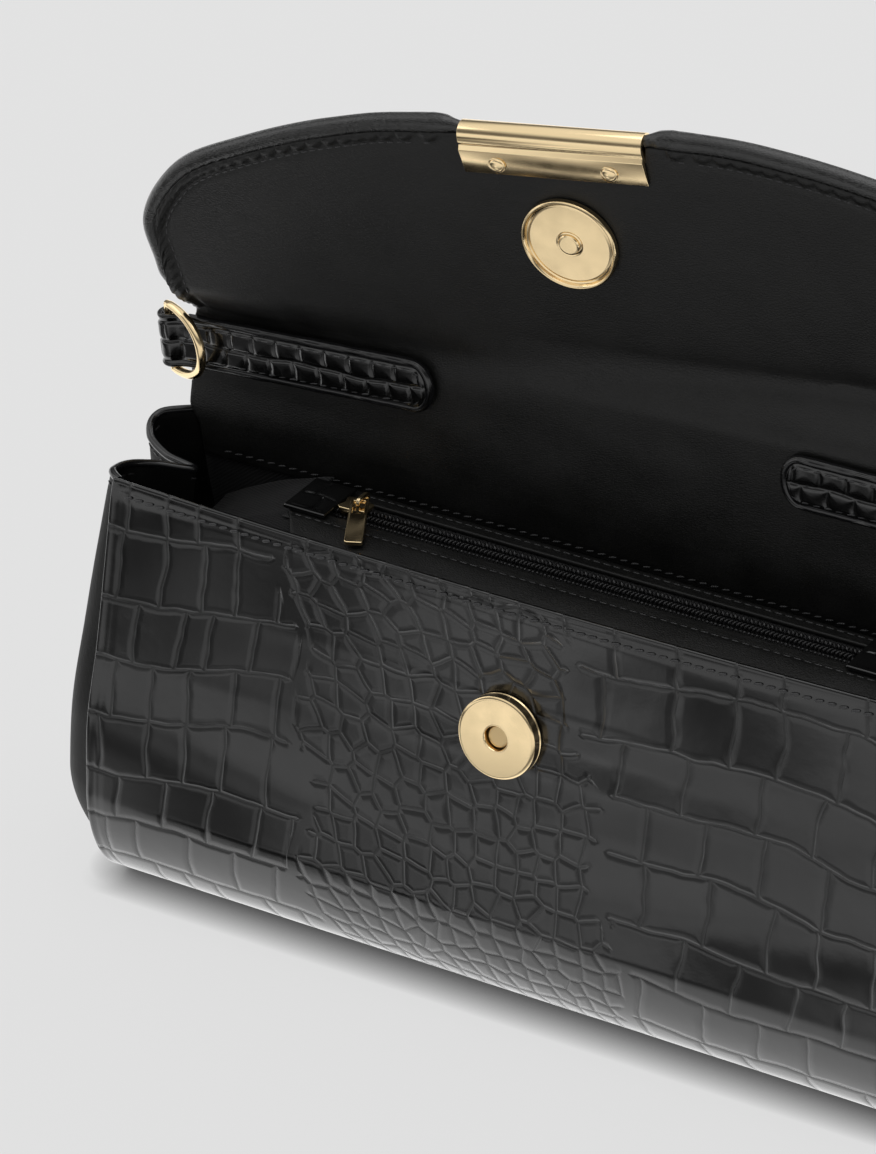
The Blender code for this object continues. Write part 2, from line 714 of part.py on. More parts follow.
def snap_socket():
    """The half on the front panel: a cup with a hole, its magnet, core and washer."""
    base = CUP_SEAT
    top = base + CUP_HEIGHT
    inner = CUP_RADIUS - CUP_WALL
    face = top - CUP_WALL
    chamfer = CUP_WALL * 0.6
    turned(
        "snap_cup",
        "gold",
        [
            (CUP_HOLE, top),
            (CUP_RADIUS - chamfer, top),
            (CUP_RADIUS, top - chamfer),
            (CUP_RADIUS, base),
            (inner, base),
            (inner, face),
            (CUP_HOLE, face),
        ],
        SNAP_FRAME,
    )
    turned(
        "snap_magnet",
        "magnet",
        [
            (CUP_HOLE + GAP, face - GAP),
            (inner - GAP, face - GAP),
            (inner - GAP, base),
            (CUP_HOLE + GAP, base),
        ],
        SNAP_FRAME,
    )
    turned(
        "snap_core",
        "gold",
        [(0.0, top - CORE_RECESS), (CUP_HOLE - GAP, top - CORE_RECESS), (CUP_HOLE - GAP, base), (0.0, base)],
        SNAP_FRAME,
    )
    low = -LEATHER - GAP - WASHER_SHEET
    turned(
        "snap_washer",
        "steel",
        [(0.0, low + WASHER_SHEET), (WASHER_RADIUS, low + WASHER_SHEET), (WASHER_RADIUS, low), (0.0, low)],
        SNAP_FRAME,
        steps=24,
    )


def flap_foot(x):
    """Where the stiff part of the flap begins, along the flap: the crease runs aslant."""
    return -x * math.tan(CREASE_SLANT)


def outline_points(side, inset, steps=5):
    """The outline of one half of the flap, from the crease to the tip, drawn in by an inset."""
    stations = FLAP_OUTLINE
    dense = []
    for k in range(len(stations) - 1):
        before = Vector(stations[max(k - 1, 0)])
        first = Vector(stations[k])
        second = Vector(stations[k + 1])
        after = Vector(stations[k + 2] if k + 2 < len(stations) else (-stations[-1][0], stations[-1][1]))
        for step in range(steps):
            t = step / steps
            dense.append(
                0.5
                * (
                    2 * first
                    + (second - before) * t
                    + (2 * before - 5 * first + 4 * second - after) * t * t
                    + (3 * first - before - 3 * second + after) * t**3
                )
            )
    dense.append(Vector(stations[-1]))
    right = []
    for k, point in enumerate(dense):
        ahead = dense[min(k + 1, len(dense) - 1)]
        behind = dense[max(k - 1, 0)]
        way = (ahead - behind).normalized()
        drawn = point + Vector((-way.y, way.x)) * inset
        start = stations[1][1]
        if point.y < start:
            foot = flap_foot(side * drawn.x)
            drawn.y = foot + (start - foot) * point.y / start
        right.append(drawn)
    return right


def flap_loop(inset, tip):
    """The whole outline: right half, a tip edge at the centre, then the left half."""
    right = [point for point in outline_points(1, inset) if point.x > BAR_HALF_LENGTH]
    loop = [(point.x, point.y) for point in right]
    end = BAR_HALF_LENGTH + GAP
    loop += [(end, right[-1].y), (end, tip), (-end, tip), (-end, right[-1].y)]
    left = [point for point in outline_points(-1, inset) if point.x > BAR_HALF_LENGTH]
    loop += [(-point.x, point.y) for point in reversed(left)]
    return loop


def flap_front(pivot):
    """The stiff part of the flap: shell, card, lining, edge roll, bar and snap stud."""
    inset = 2 * ROLL_RADIUS + GAP
    tip = BAR_TOP - 2 * BAR_BEAD_RADIUS - GAP
    layers = (
        ("flap_outer", "croc_leather", LEATHER, FLAP_OUTER_FACE + LEATHER / 2, False),
        ("flap_board", "board", FLAP_BOARD, 0.0, True),
        ("flap_lining", "smooth_leather", SOFT_LEATHER, FLAP_LINING_FACE - SOFT_LEATHER / 2, False),
    )
    for name, finish, thickness, level, holed in layers:
        frame = FLAP_FRAME @ Matrix.Translation((0, 0, level))
        obj = to_mesh(flat_shape(name, flap_loop(inset, tip), thickness, frame))
        place(obj, finish, pivot)
        if holed:
            at = FLAP_FRAME @ Matrix.Translation((0, DISH_ALONG, 0))
            hole = cutter("stud_washer_hole", WASHER_RADIUS + GAP, CUTTER_DEPTH, at)
            combine(obj, hole, "DIFFERENCE")
    for name, side in (("left", -1), ("right", 1)):
        middle = [point for point in outline_points(side, ROLL_RADIUS) if point.x > BAR_HALF_LENGTH]
        path = [FLAP_FRAME @ Vector((side * point.x, point.y, 0.0)) for point in middle]
        tube(f"flap_roll_{name}", "smooth_leather", path, ROLL_RADIUS, pivot=pivot, resolution=3)
    edge_bar(pivot)
    snap_stud(pivot)


def edge_bar(pivot):
    """The metal bar on the flap's tip: a round bead with a plate down each face."""
    slot_low = FLAP_OUTER_FACE - GAP
    slot_high = FLAP_LINING_FACE + GAP
    centre = BAR_TOP - BAR_BEAD_RADIUS
    neck = centre - BAR_BEAD_RADIUS
    outline = []  # across the flap: (towards the lining, along)
    half_angle = math.asin((slot_high + BAR_PLATE) / (BAR_BEAD_RADIUS + BAR_PLATE))
    arc_steps = 14
    for step in range(arc_steps + 1):
        angle = -half_angle * 0.5 + (math.pi + half_angle) * step / arc_steps
        reach = BAR_BEAD_RADIUS
        outline.append((reach * math.cos(angle), centre + reach * math.sin(angle)))
    outline += [
        (slot_low - BAR_PLATE, neck + BAR_PLATE),
        (slot_low - BAR_PLATE, BAR_PLATE_FOOT),
        (slot_low, BAR_PLATE_FOOT),
        (slot_low, neck),
        (slot_high, neck),
        (slot_high, BAR_PLATE_FOOT),
        (slot_high + BAR_PLATE, BAR_PLATE_FOOT),
        (slot_high + BAR_PLATE, neck + BAR_PLATE),
    ]
    frame = FLAP_FRAME @ Matrix(((0, 0, 1, 0), (0, 1, 0, 0), (1, 0, 0, 0), (0, 0, 0, 1)))
    bar = to_mesh(flat_shape("edge_bar", outline, 2 * BAR_HALF_LENGTH, frame))
    place(bar, "gold", pivot)
    face = slot_high + BAR_PLATE + GAP
    for name, side in (("left", -1), ("right", 1)):
        at = FLAP_FRAME @ Matrix.Translation((side * RIVET_OFFSET, RIVET_ALONG, face))
        dome = [(0.0, RIVET_HEIGHT)]
        for step in range(1, 6):
            angle = math.pi / 2 * step / 5
            dome.append((RIVET_RADIUS * math.sin(angle), RIVET_HEIGHT * math.cos(angle) * 0.8 + RIVET_EDGE))
        dome += [(RIVET_RADIUS, 0.0), (0.0, 0.0)]
        turned(f"bar_rivet_{name}", "gold", dome, at, pivot, steps=20)


def snap_stud(pivot):
    """The half on the flap's lining: a dish with a rim, its nub, and a washer inside."""
    at = FLAP_FRAME @ Matrix.Translation((0, DISH_ALONG, FLAP_LINING_FACE + GAP))
    chamfer = DISH_RIM / 3
    inner = DISH_RADIUS - DISH_RIM
    turned(
        "stud_dish",
        "gold",
        [
            (0.0, DISH_FLOOR),
            (inner, DISH_FLOOR),
            (inner + chamfer, DISH_RIM_HEIGHT),
            (DISH_RADIUS - chamfer, DISH_RIM_HEIGHT),
            (DISH_RADIUS, DISH_RIM_HEIGHT / 2),
            (DISH_RADIUS, 0.0),
            (0.0, 0.0),
        ],
        at,
        pivot,
    )
    chamfer = NUB_HEIGHT / 4
    low = DISH_FLOOR + NUB_SEAT
    turned(
        "stud_nub",
        "gold",
        [
            (0.0, low + NUB_HEIGHT),
            (NUB_RADIUS - chamfer, low + NUB_HEIGHT),
            (NUB_RADIUS, low + NUB_HEIGHT - chamfer),
            (NUB_RADIUS, low),
            (0.0, low),
        ],
        at,
        pivot,
        steps=28,
    )
    half = WASHER_SHEET / 2
    turned(
        "stud_washer",
        "steel",
        [(0.0, half), (WASHER_RADIUS, half), (WASHER_RADIUS, -half), (0.0, -half)],
        FLAP_FRAME @ Matrix.Translation((0, DISH_ALONG, 0)),
        pivot,
        steps=24,
    )


def spine_head(x):
    """Where the spine ends, along the flap, at a place across it."""
    return SPINE_TOP + x * math.tan(SPINE_SLANT)


def flap_spine(pivot):
    """The part of the flap between its two folds, with the fabric that bends at each."""
    layers = (
        ("outer", "croc_leather", LEATHER, FLAP_OUTER_FACE + LEATHER / 2),
        ("board", "board", FLAP_BOARD, 0.0),
        ("lining", "smooth_leather", SOFT_LEATHER, FLAP_LINING_FACE - SOFT_LEATHER / 2),
    )
    for name, finish, thickness, level in layers:
        half = SPINE_HALF_WIDTH - (LAYER_MARGIN if name == "board" else 0.0)
        outline = [(-half, SPINE_FOOT), (half, SPINE_FOOT)]
        outline += [(half, spine_head(half)), (-half, spine_head(-half))]
        frame = SPINE_FRAME @ Matrix.Translation((0, 0, level))
        place(to_mesh(flat_shape(f"spine_{name}", outline, thickness, frame)), finish, pivot)
        if name == "board":
            continue

        def crease(across, down, level=level):
            x = (across - 0.5) * 2 * (FLAP_OUTLINE[0][0] - 2 * ROLL_RADIUS - GAP)
            low = SPINE_FRAME @ Vector((x, spine_head(x) + GAP * 2, level))
            high = FLAP_FRAME @ Vector((x, flap_foot(x) - GAP * 2, level))
            return low.lerp(high, down)

        sheet(f"crease_{name}", finish, crease, 12, 4, thickness, 0.0, pivot)

    foot = HINGE_HEIGHT - SPINE_FOOT - GAP * 2

    def fold(across, down):
        x = (across - 0.5) * 2 * SPINE_HALF_WIDTH
        low = Vector((x, HINGE_Y, foot))
        high = SPINE_FRAME @ Vector((x, SPINE_FOOT - GAP, 0.0))
        return low.lerp(high, down)

    sheet("spine_fold", "croc_leather", fold, 12, 4, FOLD_SHEET, 0.0)


def strap_tabs(pivot):
    """The two tabs on the spine's lining, each ending in an eye that holds a D-ring."""
    low = FLAP_LINING_FACE + GAP
    centre = low + STRAP_SHEET / 2
    bore = RING_WIRE + GAP
    for name, side, ring_across, ring_along, rise in STRAPS:
        half = STRAP_WIDTH / 2
        start = STRAP_LENGTH - half * TIP_ROUNDING
        outline = [(0.0, half), (0.0, -half)]
        arc_steps = 12
        for step in range(arc_steps + 1):
            angle = -math.pi / 2 + math.pi * step / arc_steps
            outline.append((start + half * TIP_ROUNDING * math.cos(angle), half * math.sin(angle)))
        outline = [(-side * x, y) for x, y in outline]
        frame = SPINE_FRAME @ Matrix.Translation((side * ring_across, ring_along, centre))
        frame = frame @ Matrix.Rotation(-side * rise, 4, "Z")
        tab = to_mesh(flat_shape(f"strap_tab_{name}", outline, STRAP_SHEET, frame))
        place(tab, "croc_leather", pivot)
        eye_frame = frame @ Matrix.Rotation(math.pi / 2, 4, "X")
        eye = cutter(f"eye_{name}", bore + EYE_WALL, STRAP_WIDTH, eye_frame)
        hole = cutter(f"eye_hole_{name}", bore, STRAP_WIDTH * 2, eye_frame)
        combine(tab, eye, "UNION")
        combine(tab, hole, "DIFFERENCE")
        d_ring(name, side, frame, pivot)


def d_ring(name, side, frame, parent):
    """A D-ring: its bar lies in the tab's eye and its bow stands off the tab's face."""
    origin = frame.translation
    along = frame.to_3x3() @ Vector((0, 1, 0))
    inwards = frame.to_3x3() @ Vector((-side * math.cos(RING_FOLD), 0, math.sin(RING_FOLD)))
    swing = pivot_at(f"d_ring_{name}_axis", origin, along * side)
    swing.parent = parent
    swing.matrix_parent_inverse = parent.matrix_world.inverted()
    path = []
    steps = 22
    for step in range(steps + 1):
        angle = -math.pi / 2 + math.pi * step / steps
        reach = RING_DEPTH * math.cos(angle) ** RING_SQUARENESS
        path.append(origin + along * RING_HALF_WIDTH * math.sin(angle) + inwards * reach)
    tube(f"d_ring_{name}", "gold", path, RING_WIRE, True, swing, 3)


def rest_frame():
    """The flap's frame as it stands open: yawed, leaning forwards and rolled in its plane."""
    level = Vector((math.cos(FLAP_YAW), math.sin(FLAP_YAW), 0))
    facing = Vector(
        (
            math.sin(FLAP_YAW) * math.cos(FLAP_LEAN),
            -math.cos(FLAP_YAW) * math.cos(FLAP_LEAN),
            -math.sin(FLAP_LEAN),
        )
    )
    up = facing.cross(level)
    across = level * math.cos(FLAP_ROLL) + up * math.sin(FLAP_ROLL)
    along = up * math.cos(FLAP_ROLL) - level * math.sin(FLAP_ROLL)
    return across, along


def crease_axis():
    """Where the open flap stands, and the axis about which it folds onto the front.

    The dish closes over the disc when the spine has made its turn. The one axis that
    takes the flap from where it stands to there, as the spine carries it, is the crease.
    """
    across, along = rest_frame()
    seat = CUP_SEAT + CUP_HEIGHT + GAP + DISH_FACE
    closed_along = Vector((0, -math.sin(SNAP_TILT), -math.cos(SNAP_TILT)))
    closed_origin = SNAP_FRAME @ Vector((0, 0, seat)) - closed_along * DISH_ALONG
    back = Matrix.Rotation(-SPINE_TURN, 4, "X")
    hinge = Vector((0, HINGE_Y, HINGE_HEIGHT))
    carried = hinge + back @ (closed_origin - hinge)
    closed = frame_of(Vector(), Vector((1, 0, 0)), closed_along)
    opened = frame_of(Vector(), across, along)
    turn = (back @ closed @ opened.inverted()).to_quaternion()
    axis, angle = turn.to_axis_angle()
    origin = Vector((0.0, CREASE_Y, CREASE_HEIGHT))
    origin.x = carried.x + (axis.y * (carried.y - origin.y) + axis.z * (carried.z - origin.z)) / axis.x
    step = carried - origin
    centre = origin + step / 2 + axis.cross(step) / (2 * math.tan(angle / 2))
    centre = centre - axis * (centre.x / axis.x)
    return frame_of(origin, across, along), axis, angle, centre


def main():
    """Builds every piece."""
    body_panels()
    lining()
    gussets()
    zip_closure()
    snap_socket()
    spine_axis = pivot_at("spine_axis", Vector((0, HINGE_Y, HINGE_HEIGHT)), Vector((1, 0, 0)))
    flap_axis = pivot_at("crease_axis", CREASE_POINT, CREASE_AXIS)
    flap_axis.parent = spine_axis
    flap_axis.matrix_parent_inverse = spine_axis.matrix_world.inverted()
    flap_spine(spine_axis)
    strap_tabs(spine_axis)
    flap_front(flap_axis)


clear_scene()
PARTS, CUTTERS = make_collections()

# Where the snap seats on the front wall, and the frames the flap's two parts are built in
SNAP_TILT = math.atan(
    (wall_depth(SNAP_HEIGHT - CUP_RADIUS) - wall_depth(SNAP_HEIGHT + CUP_RADIUS)) / (2 * CUP_RADIUS)
)
SNAP_DEPTH = (wall_depth(SNAP_HEIGHT - CUP_RADIUS) + wall_depth(SNAP_HEIGHT + CUP_RADIUS)) / 2
SNAP_POINT = Vector((0, -SNAP_DEPTH, SNAP_HEIGHT))
SNAP_FRAME = Matrix.Translation(SNAP_POINT) @ Matrix.Rotation(math.pi / 2 - SNAP_TILT, 4, "X")
SPINE_FRAME = frame_of(
    Vector((0, HINGE_Y, HINGE_HEIGHT)),
    Vector((1, 0, 0)),
    Vector((0, -math.sin(SPINE_LEAN), math.cos(SPINE_LEAN))),
)
FLAP_FRAME, CREASE_AXIS, CREASE_TURN, CREASE_POINT = crease_axis()
main()
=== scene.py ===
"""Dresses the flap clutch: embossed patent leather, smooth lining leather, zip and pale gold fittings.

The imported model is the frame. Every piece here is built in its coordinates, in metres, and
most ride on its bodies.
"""

import logging
import math
from dataclasses import dataclass, field
from enum import Enum
from typing import Any, Callable, Sequence

import bmesh
import bpy
import numpy as np
from mathutils import Matrix, Vector


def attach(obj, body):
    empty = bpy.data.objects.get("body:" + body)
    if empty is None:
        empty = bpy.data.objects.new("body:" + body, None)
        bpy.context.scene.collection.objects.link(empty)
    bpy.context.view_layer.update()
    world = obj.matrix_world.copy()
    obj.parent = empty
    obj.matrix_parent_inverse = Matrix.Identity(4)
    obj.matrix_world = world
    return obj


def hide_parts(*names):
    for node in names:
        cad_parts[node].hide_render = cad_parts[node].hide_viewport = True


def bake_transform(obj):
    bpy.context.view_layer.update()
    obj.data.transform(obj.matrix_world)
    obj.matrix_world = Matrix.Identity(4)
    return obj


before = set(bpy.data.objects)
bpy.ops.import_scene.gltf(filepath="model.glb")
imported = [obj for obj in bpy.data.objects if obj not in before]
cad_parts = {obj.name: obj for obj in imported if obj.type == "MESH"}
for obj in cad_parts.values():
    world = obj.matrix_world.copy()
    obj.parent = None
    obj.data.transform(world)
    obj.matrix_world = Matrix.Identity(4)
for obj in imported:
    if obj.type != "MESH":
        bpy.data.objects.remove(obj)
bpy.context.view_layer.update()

LOG = logging.getLogger("clutch")
MM = 0.001
Array = np.ndarray
Pair = tuple[Array, Array]
Surface = Callable[[Array, Array], Array]
Length = Callable[[Array, Array], Pair]
Relief = Callable[[Array, Array, Array, Array], Pair]
Outline = Sequence[tuple[float, float]]
Object = bpy.types.Object
Tree = bpy.types.NodeTree
Socket = bpy.types.NodeSocket

# Sizes that the part and its dress share, in metres and radians
HALF_WIDTH = 0.112
BODY_HEIGHT = 0.111
SIDES = (("left", -1), ("right", 1))
BELLY_HEIGHT = 0.030
BELLY_DEPTH = 0.038
BASE_DEPTH = 0.017
LEATHER = 0.0013
CLEAR = 0.0003
WALL_LAYERS = 0.0031
WALL_HEIGHTS = (BELLY_HEIGHT, 0.050, 0.069, 0.090, BODY_HEIGHT)
WALL_DEPTHS = (BELLY_DEPTH, 0.0366, 0.0314, 0.0268, 0.0225)
FRONT_BOW_HEIGHTS = (BELLY_HEIGHT, 0.042, 0.054, 0.0645, 0.075, 0.0855, BODY_HEIGHT)
FRONT_BOW_DEPTHS = (0.0, -0.0030, -0.0055, -0.0052, -0.0040, -0.0032, 0.0030)
BACK_BOW = 0.0020
HINGE = (0.0204, 0.1172)
SPINE_LEAN = math.radians(2.5)
SPINE_HALF_WIDTH = 0.1150
SPINE_MEET = 0.0135
SPINE_TOP = 0.0285
SPINE_SLANT = math.tan(math.radians(2.5))
CREASE_SLANT = math.tan(math.radians(3.5))
FLAP_ORIGIN = (-0.00197, 0.0215, 0.1558)
FLAP_YAW = math.radians(5.5)
FLAP_LEAN = math.radians(9.5)
FLAP_ROLL = math.radians(7.6)
OUTER_FACE = -0.0022
LINING_FACE = 0.0019
FLAP_OUTLINE = (
    (0.1155, 0.0000),
    (0.1168, 0.0150),
    (0.1168, 0.0290),
    (0.1045, 0.0440),
    (0.0860, 0.0523),
    (0.0600, 0.0598),
    (0.0320, 0.0634),
)
ROLL_RADIUS = 0.0025
BAR_HALF_LENGTH = 0.0237
BAR_TOP = 0.0622
BAR_SHEET = 0.0008
ZIP_LEFT = -0.0750
ZIP_RIGHT = 0.0895
ZIP_TAB_LENGTH = 0.0110
ZIP_CENTRE_Y = 0.0048
ZIP_HEIGHT = 0.1030
TAPE_SHEET = 0.0006
LINING_SHEET = 0.0008
UPWARDS = np.array((0.0, 0.0, 1.0))


def smooth_step(value: Array, low: float, high: float) -> Array:
    """An eased ramp from 0 at low to 1 at high."""
    share = np.clip((value - low) / (high - low), 0.0, 1.0)
    return share * share * (3 - 2 * share)


def eased(stations: Sequence[float], values: Sequence[float], at: Array) -> Array:
    """Reads a smooth curve through stations, with its ends held.

    Args:
        stations: Places along the curve, rising.
        values: The curve's value at each station.
        at: Where to read it.

    Returns:
        The curve's values, in the shape of at.
    """
    x = np.asarray(stations, float)
    y = np.asarray(values, float)
    slopes = np.empty_like(y)
    slopes[1:-1] = (y[2:] - y[:-2]) / (x[2:] - x[:-2])
    slopes[0] = (y[1] - y[0]) / (x[1] - x[0])
    slopes[-1] = (y[-1] - y[-2]) / (x[-1] - x[-2])
    at = np.clip(at, x[0], x[-1])
    k = np.clip(np.searchsorted(x, at) - 1, 0, len(x) - 2)
    h = x[k + 1] - x[k]
    t = (at - x[k]) / h
    return (
        (2 * t**3 - 3 * t**2 + 1) * y[k]
        + (t**3 - 2 * t**2 + t) * h * slopes[k]
        + (3 * t**2 - 2 * t**3) * y[k + 1]
        + (t**3 - t**2) * h * slopes[k + 1]
    )


def half_depth(height: Array, inset: float = 0.0) -> Array:
    """Half the body's depth at a height: shoulders above the belly, an ellipse below it."""
    above = eased(WALL_HEIGHTS, WALL_DEPTHS, height) - inset
    across = BELLY_DEPTH - BASE_DEPTH - inset
    drop = np.clip((BELLY_HEIGHT - height) / (BELLY_HEIGHT - inset), 0.0, 1.0)
    below = BASE_DEPTH + across * np.sqrt(1 - drop * drop)
    return np.where(height >= BELLY_HEIGHT, above, below)


def bow(x: Array, height: Array, side: int) -> Array:
    """How far a wall stands out at mid-width; side -1 is the front, 1 the back."""
    if side < 0:
        most = eased(FRONT_BOW_HEIGHTS, FRONT_BOW_DEPTHS, height)
    else:
        most = eased((BELLY_HEIGHT, BODY_HEIGHT), (0.0, BACK_BOW), height)
    return most * np.clip(1 - (x / HALF_WIDTH) ** 2, 0.0, 1.0)


def wall_path(top: float, inset: float) -> tuple[Array, Array, Array]:
    """A wall's path from its top edge down to the base.

    Args:
        top: The height of its top edge.
        inset: How far it lies inside the body's outer face.

    Returns:
        Lengths along the path, the heights and the half depths there.
    """
    upper = np.linspace(top, BELLY_HEIGHT, 160)
    angles = np.linspace(0.0, math.pi / 2, 120)[1:]
    lower = BELLY_HEIGHT - (BELLY_HEIGHT - inset) * np.sin(angles)
    heights = np.concatenate((upper, lower))
    across = BELLY_DEPTH - BASE_DEPTH - inset
    depths = np.concatenate((half_depth(upper, inset), BASE_DEPTH + across * np.cos(angles)))
    steps = np.hypot(np.diff(heights), np.diff(depths))
    return np.concatenate(((0.0,), np.cumsum(steps))), heights, depths


def placed(matrix: Array, points: Array) -> Array:
    """Points in a frame's own axes, turned into the part's frame."""
    return points @ matrix[:3, :3].T + matrix[:3, 3]


def frame_rows(origin: Sequence[float], across: Vector, along: Vector) -> Array:
    """A frame with X across, Y along and Z towards the lining side, as a 4 x 4 array."""
    rows = Matrix((across, along, across.cross(along))).transposed().to_4x4()
    return np.array(Matrix.Translation(Vector(origin)) @ rows)


def spine_frame() -> Array:
    """The frame of the flap's first stretch, on its hinge line."""
    along = Vector((0, -math.sin(SPINE_LEAN), math.cos(SPINE_LEAN)))
    return frame_rows((0.0, HINGE[0], HINGE[1]), Vector((1, 0, 0)), along)


def flap_frame() -> Array:
    """The frame of the flap's front, as it stands open."""
    level = Vector((math.cos(FLAP_YAW), math.sin(FLAP_YAW), 0))
    flat = math.cos(FLAP_LEAN)
    facing = Vector(
        (math.sin(FLAP_YAW) * flat, -math.cos(FLAP_YAW) * flat, -math.sin(FLAP_LEAN))
    )
    up = facing.cross(level)
    across = level * math.cos(FLAP_ROLL) + up * math.sin(FLAP_ROLL)
    along = up * math.cos(FLAP_ROLL) - level * math.sin(FLAP_ROLL)
    return frame_rows(FLAP_ORIGIN, across, along)


SPINE = spine_frame()
FLAP = flap_frame()


def flap_edge(inset: float, steps: int = 12) -> Array:
    """The right half of the flap's outline, drawn in by an inset, from its foot to the bar."""
    stations = [Vector(point) for point in FLAP_OUTLINE]
    mirrored = Vector((-FLAP_OUTLINE[-1][0], FLAP_OUTLINE[-1][1]))
    dense = []
    for k in range(len(stations) - 1):
        before = stations[max(k - 1, 0)]
        first, second = stations[k], stations[k + 1]
        after = stations[k + 2] if k + 2 < len(stations) else mirrored
        for step in range(steps):
            t = step / steps
            dense.append(
                0.5
                * (
                    2 * first
                    + (second - before) * t
                    + (2 * before - 5 * first + 4 * second - after) * t * t
                    + (3 * first - before - 3 * second + after) * t**3
                )
            )
    dense.append(stations[-1])
    points = np.array(dense)
    way = units(np.gradient(points, axis=0))
    return points + np.stack((-way[:, 1], way[:, 0]), axis=1) * inset


def vertices_of(obj: Object) -> Array:
    """A mesh object's vertices, one row each."""
    co = np.empty(len(obj.data.vertices) * 3)
    obj.data.vertices.foreach_get("co", co)
    return co.reshape(-1, 3)


def units(rows: Array) -> Array:
    """Rows of vectors, each brought to length 1."""
    return rows / np.linalg.norm(rows, axis=1)[:, None]


def xyz(x: Array, y: Array, z: Array | float) -> Array:
    """Points in rows from their coordinates; a single number holds for them all."""
    return np.stack(np.broadcast_arrays(x, y, z), axis=1)


def laid(wide: float, tall: float, middle: float = 0.5) -> Length:
    """The lengths on a flat sheet of a given size, counted from a share of its width."""
    return lambda across, down: ((across - middle) * wide, down * tall)


def select_only(obj: Object) -> None:
    """Makes one object the only selected and active one."""
    bpy.ops.object.select_all(action="DESELECT")
    obj.select_set(True)
    bpy.context.view_layer.objects.active = obj


def apply_modifiers(obj: Object) -> None:
    """Applies every modifier of an object, in order."""
    select_only(obj)
    for modifier in list(obj.modifiers):
        bpy.ops.object.modifier_apply(modifier=modifier.name)


def settle(obj: Object, matrix: Array | None = None, angle: float = 40.0) -> Object:
    """Bakes an object's place into its mesh, turns its faces outwards and shades it.

    Args:
        obj: A mesh object with its modifiers applied.
        matrix: A frame its mesh is moved into.
        angle: Edges sharper than this, in degrees, stay sharp.

    Returns:
        The same object.
    """
    place = obj.matrix_world if matrix is None else Matrix(matrix) @ obj.matrix_world
    obj.data.transform(place)
    obj.matrix_world = Matrix.Identity(4)
    bm = bmesh.new()
    bm.from_mesh(obj.data)
    bmesh.ops.remove_doubles(bm, verts=bm.verts, dist=0.000002)
    bmesh.ops.recalc_face_normals(bm, faces=bm.faces)
    bm.to_mesh(obj.data)
    bm.free()
    select_only(obj)
    bpy.ops.object.shade_smooth_by_angle(angle=math.radians(angle))
    return obj


def new_mesh(name: str, points: Array, faces: Sequence[Sequence[int]]) -> Object:
    """A mesh object made of points and faces, linked to the scene."""
    mesh = bpy.data.meshes.new(name)
    mesh.from_pydata(points.tolist(), [], [list(face) for face in faces])
    mesh.update()
    obj = bpy.data.objects.new(name, mesh)
    bpy.context.scene.collection.objects.link(obj)
    return obj


def grid_faces(index: Array) -> list[tuple[int, int, int, int]]:
    """The quads between neighbouring points of an index grid."""
    a, b = index[:-1, :-1].ravel(), index[:-1, 1:].ravel()
    c, d = index[1:, 1:].ravel(), index[1:, :-1].ravel()
    return list(zip(a.tolist(), b.tolist(), c.tolist(), d.tolist()))


@dataclass
class ScalePattern:
    """Where the embossed scales lie on a sheet: rows of wide plates, small scales down the middle.

    Places are in millimetres: u across, v down the sheet. What it gives is smooth, and the
    finish draws the scales from it at any closeness.
    """

    row_lines: tuple[float, ...]
    plate_widths: tuple[float, float] = (11.5, 16.0)
    middle: tuple[float, float] = (-26.0, 4.0)
    middle_half: tuple[float, float] = (33.0, 46.0)
    cell_sizes: tuple[float, float] = (7.4, 5.2)
    rise: tuple[float, float] = (5.0, 2.0)
    seed: float = 3.0

    def coordinates(self, u: Array, v: Array) -> tuple[Array, Array, Array]:
        """Works out the finish's coordinates.

        Args:
            u: Places across, in millimetres.
            v: Places down, in millimetres.

        Returns:
            Plate coordinates, small scale coordinates, and how far each place is in the middle.
        """
        lines = np.array(self.row_lines)
        first, last = lines[0], lines[-1]
        share = np.clip((v - first) / (last - first), 0.0, 1.0)
        lift = 1.0 - smooth_step(share, 0.3, 0.7)
        left = self.rise[0] * np.exp(-(((u + 66.0) / 26.0) ** 2))
        right = self.rise[1] * np.exp(-(((u - 72.0) / 26.0) ** 2))
        wave = 1.0 * np.sin(u / 17.0 + self.seed + v / 31.0) + 0.5 * np.sin(u / 7.3 + v / 11.0)
        level = v + (left + right) * lift + wave
        rows = np.interp(level, lines, np.arange(len(lines)))
        rows += np.minimum(level - first, 0) / 15.0 + np.maximum(level - last, 0) / 15.0
        lean = 0.9 * np.sin(v / 9.0 + self.seed) + 0.10 * (v - 55.0) * np.sin(self.seed)
        narrow, wide = self.plate_widths
        across = u + lean
        plates = np.where(across < 0, across / narrow, across / wide)
        top_size, foot_size = self.cell_sizes
        slope = (top_size - foot_size) / (last - first)
        size = np.maximum(top_size - slope * (v - first), 2.0)
        cells_down = np.log(top_size / size) / slope if slope else (v - first) / top_size
        centre = self.middle[0] + (self.middle[1] - self.middle[0]) * share
        half = self.middle_half[0] + (self.middle_half[1] - self.middle_half[0]) * np.sqrt(share)
        cells_across = (u + 0.6 * wave - centre) / size
        edge = half - np.abs(u - centre) + 3.0 * np.sin(v / 6.1)
        inside = smooth_step(edge, -2.5, 2.5)
        big = np.stack((plates + 40.0, rows + 20.0), axis=1)
        small = np.stack((cells_across + 60.0, cells_down + 0.05 * wave + 10.0), axis=1)
        return big, small, inside


# How far apart a sheet's normals are read, the share where its inner face starts, and the rings of
# its edge: how far out and how deep each lies, as shares of its thickness
NORMAL_REACH = 0.002
INNER_START = 0.02
EDGE_RINGS = ((0.16, 0.10), (0.30, 0.34), (0.30, 0.70), (0.14, 0.96), (-0.6, 1.0))

# Which edges are rounded on a sheet that meets another on the spine
MEETS = (False, True, True, True)


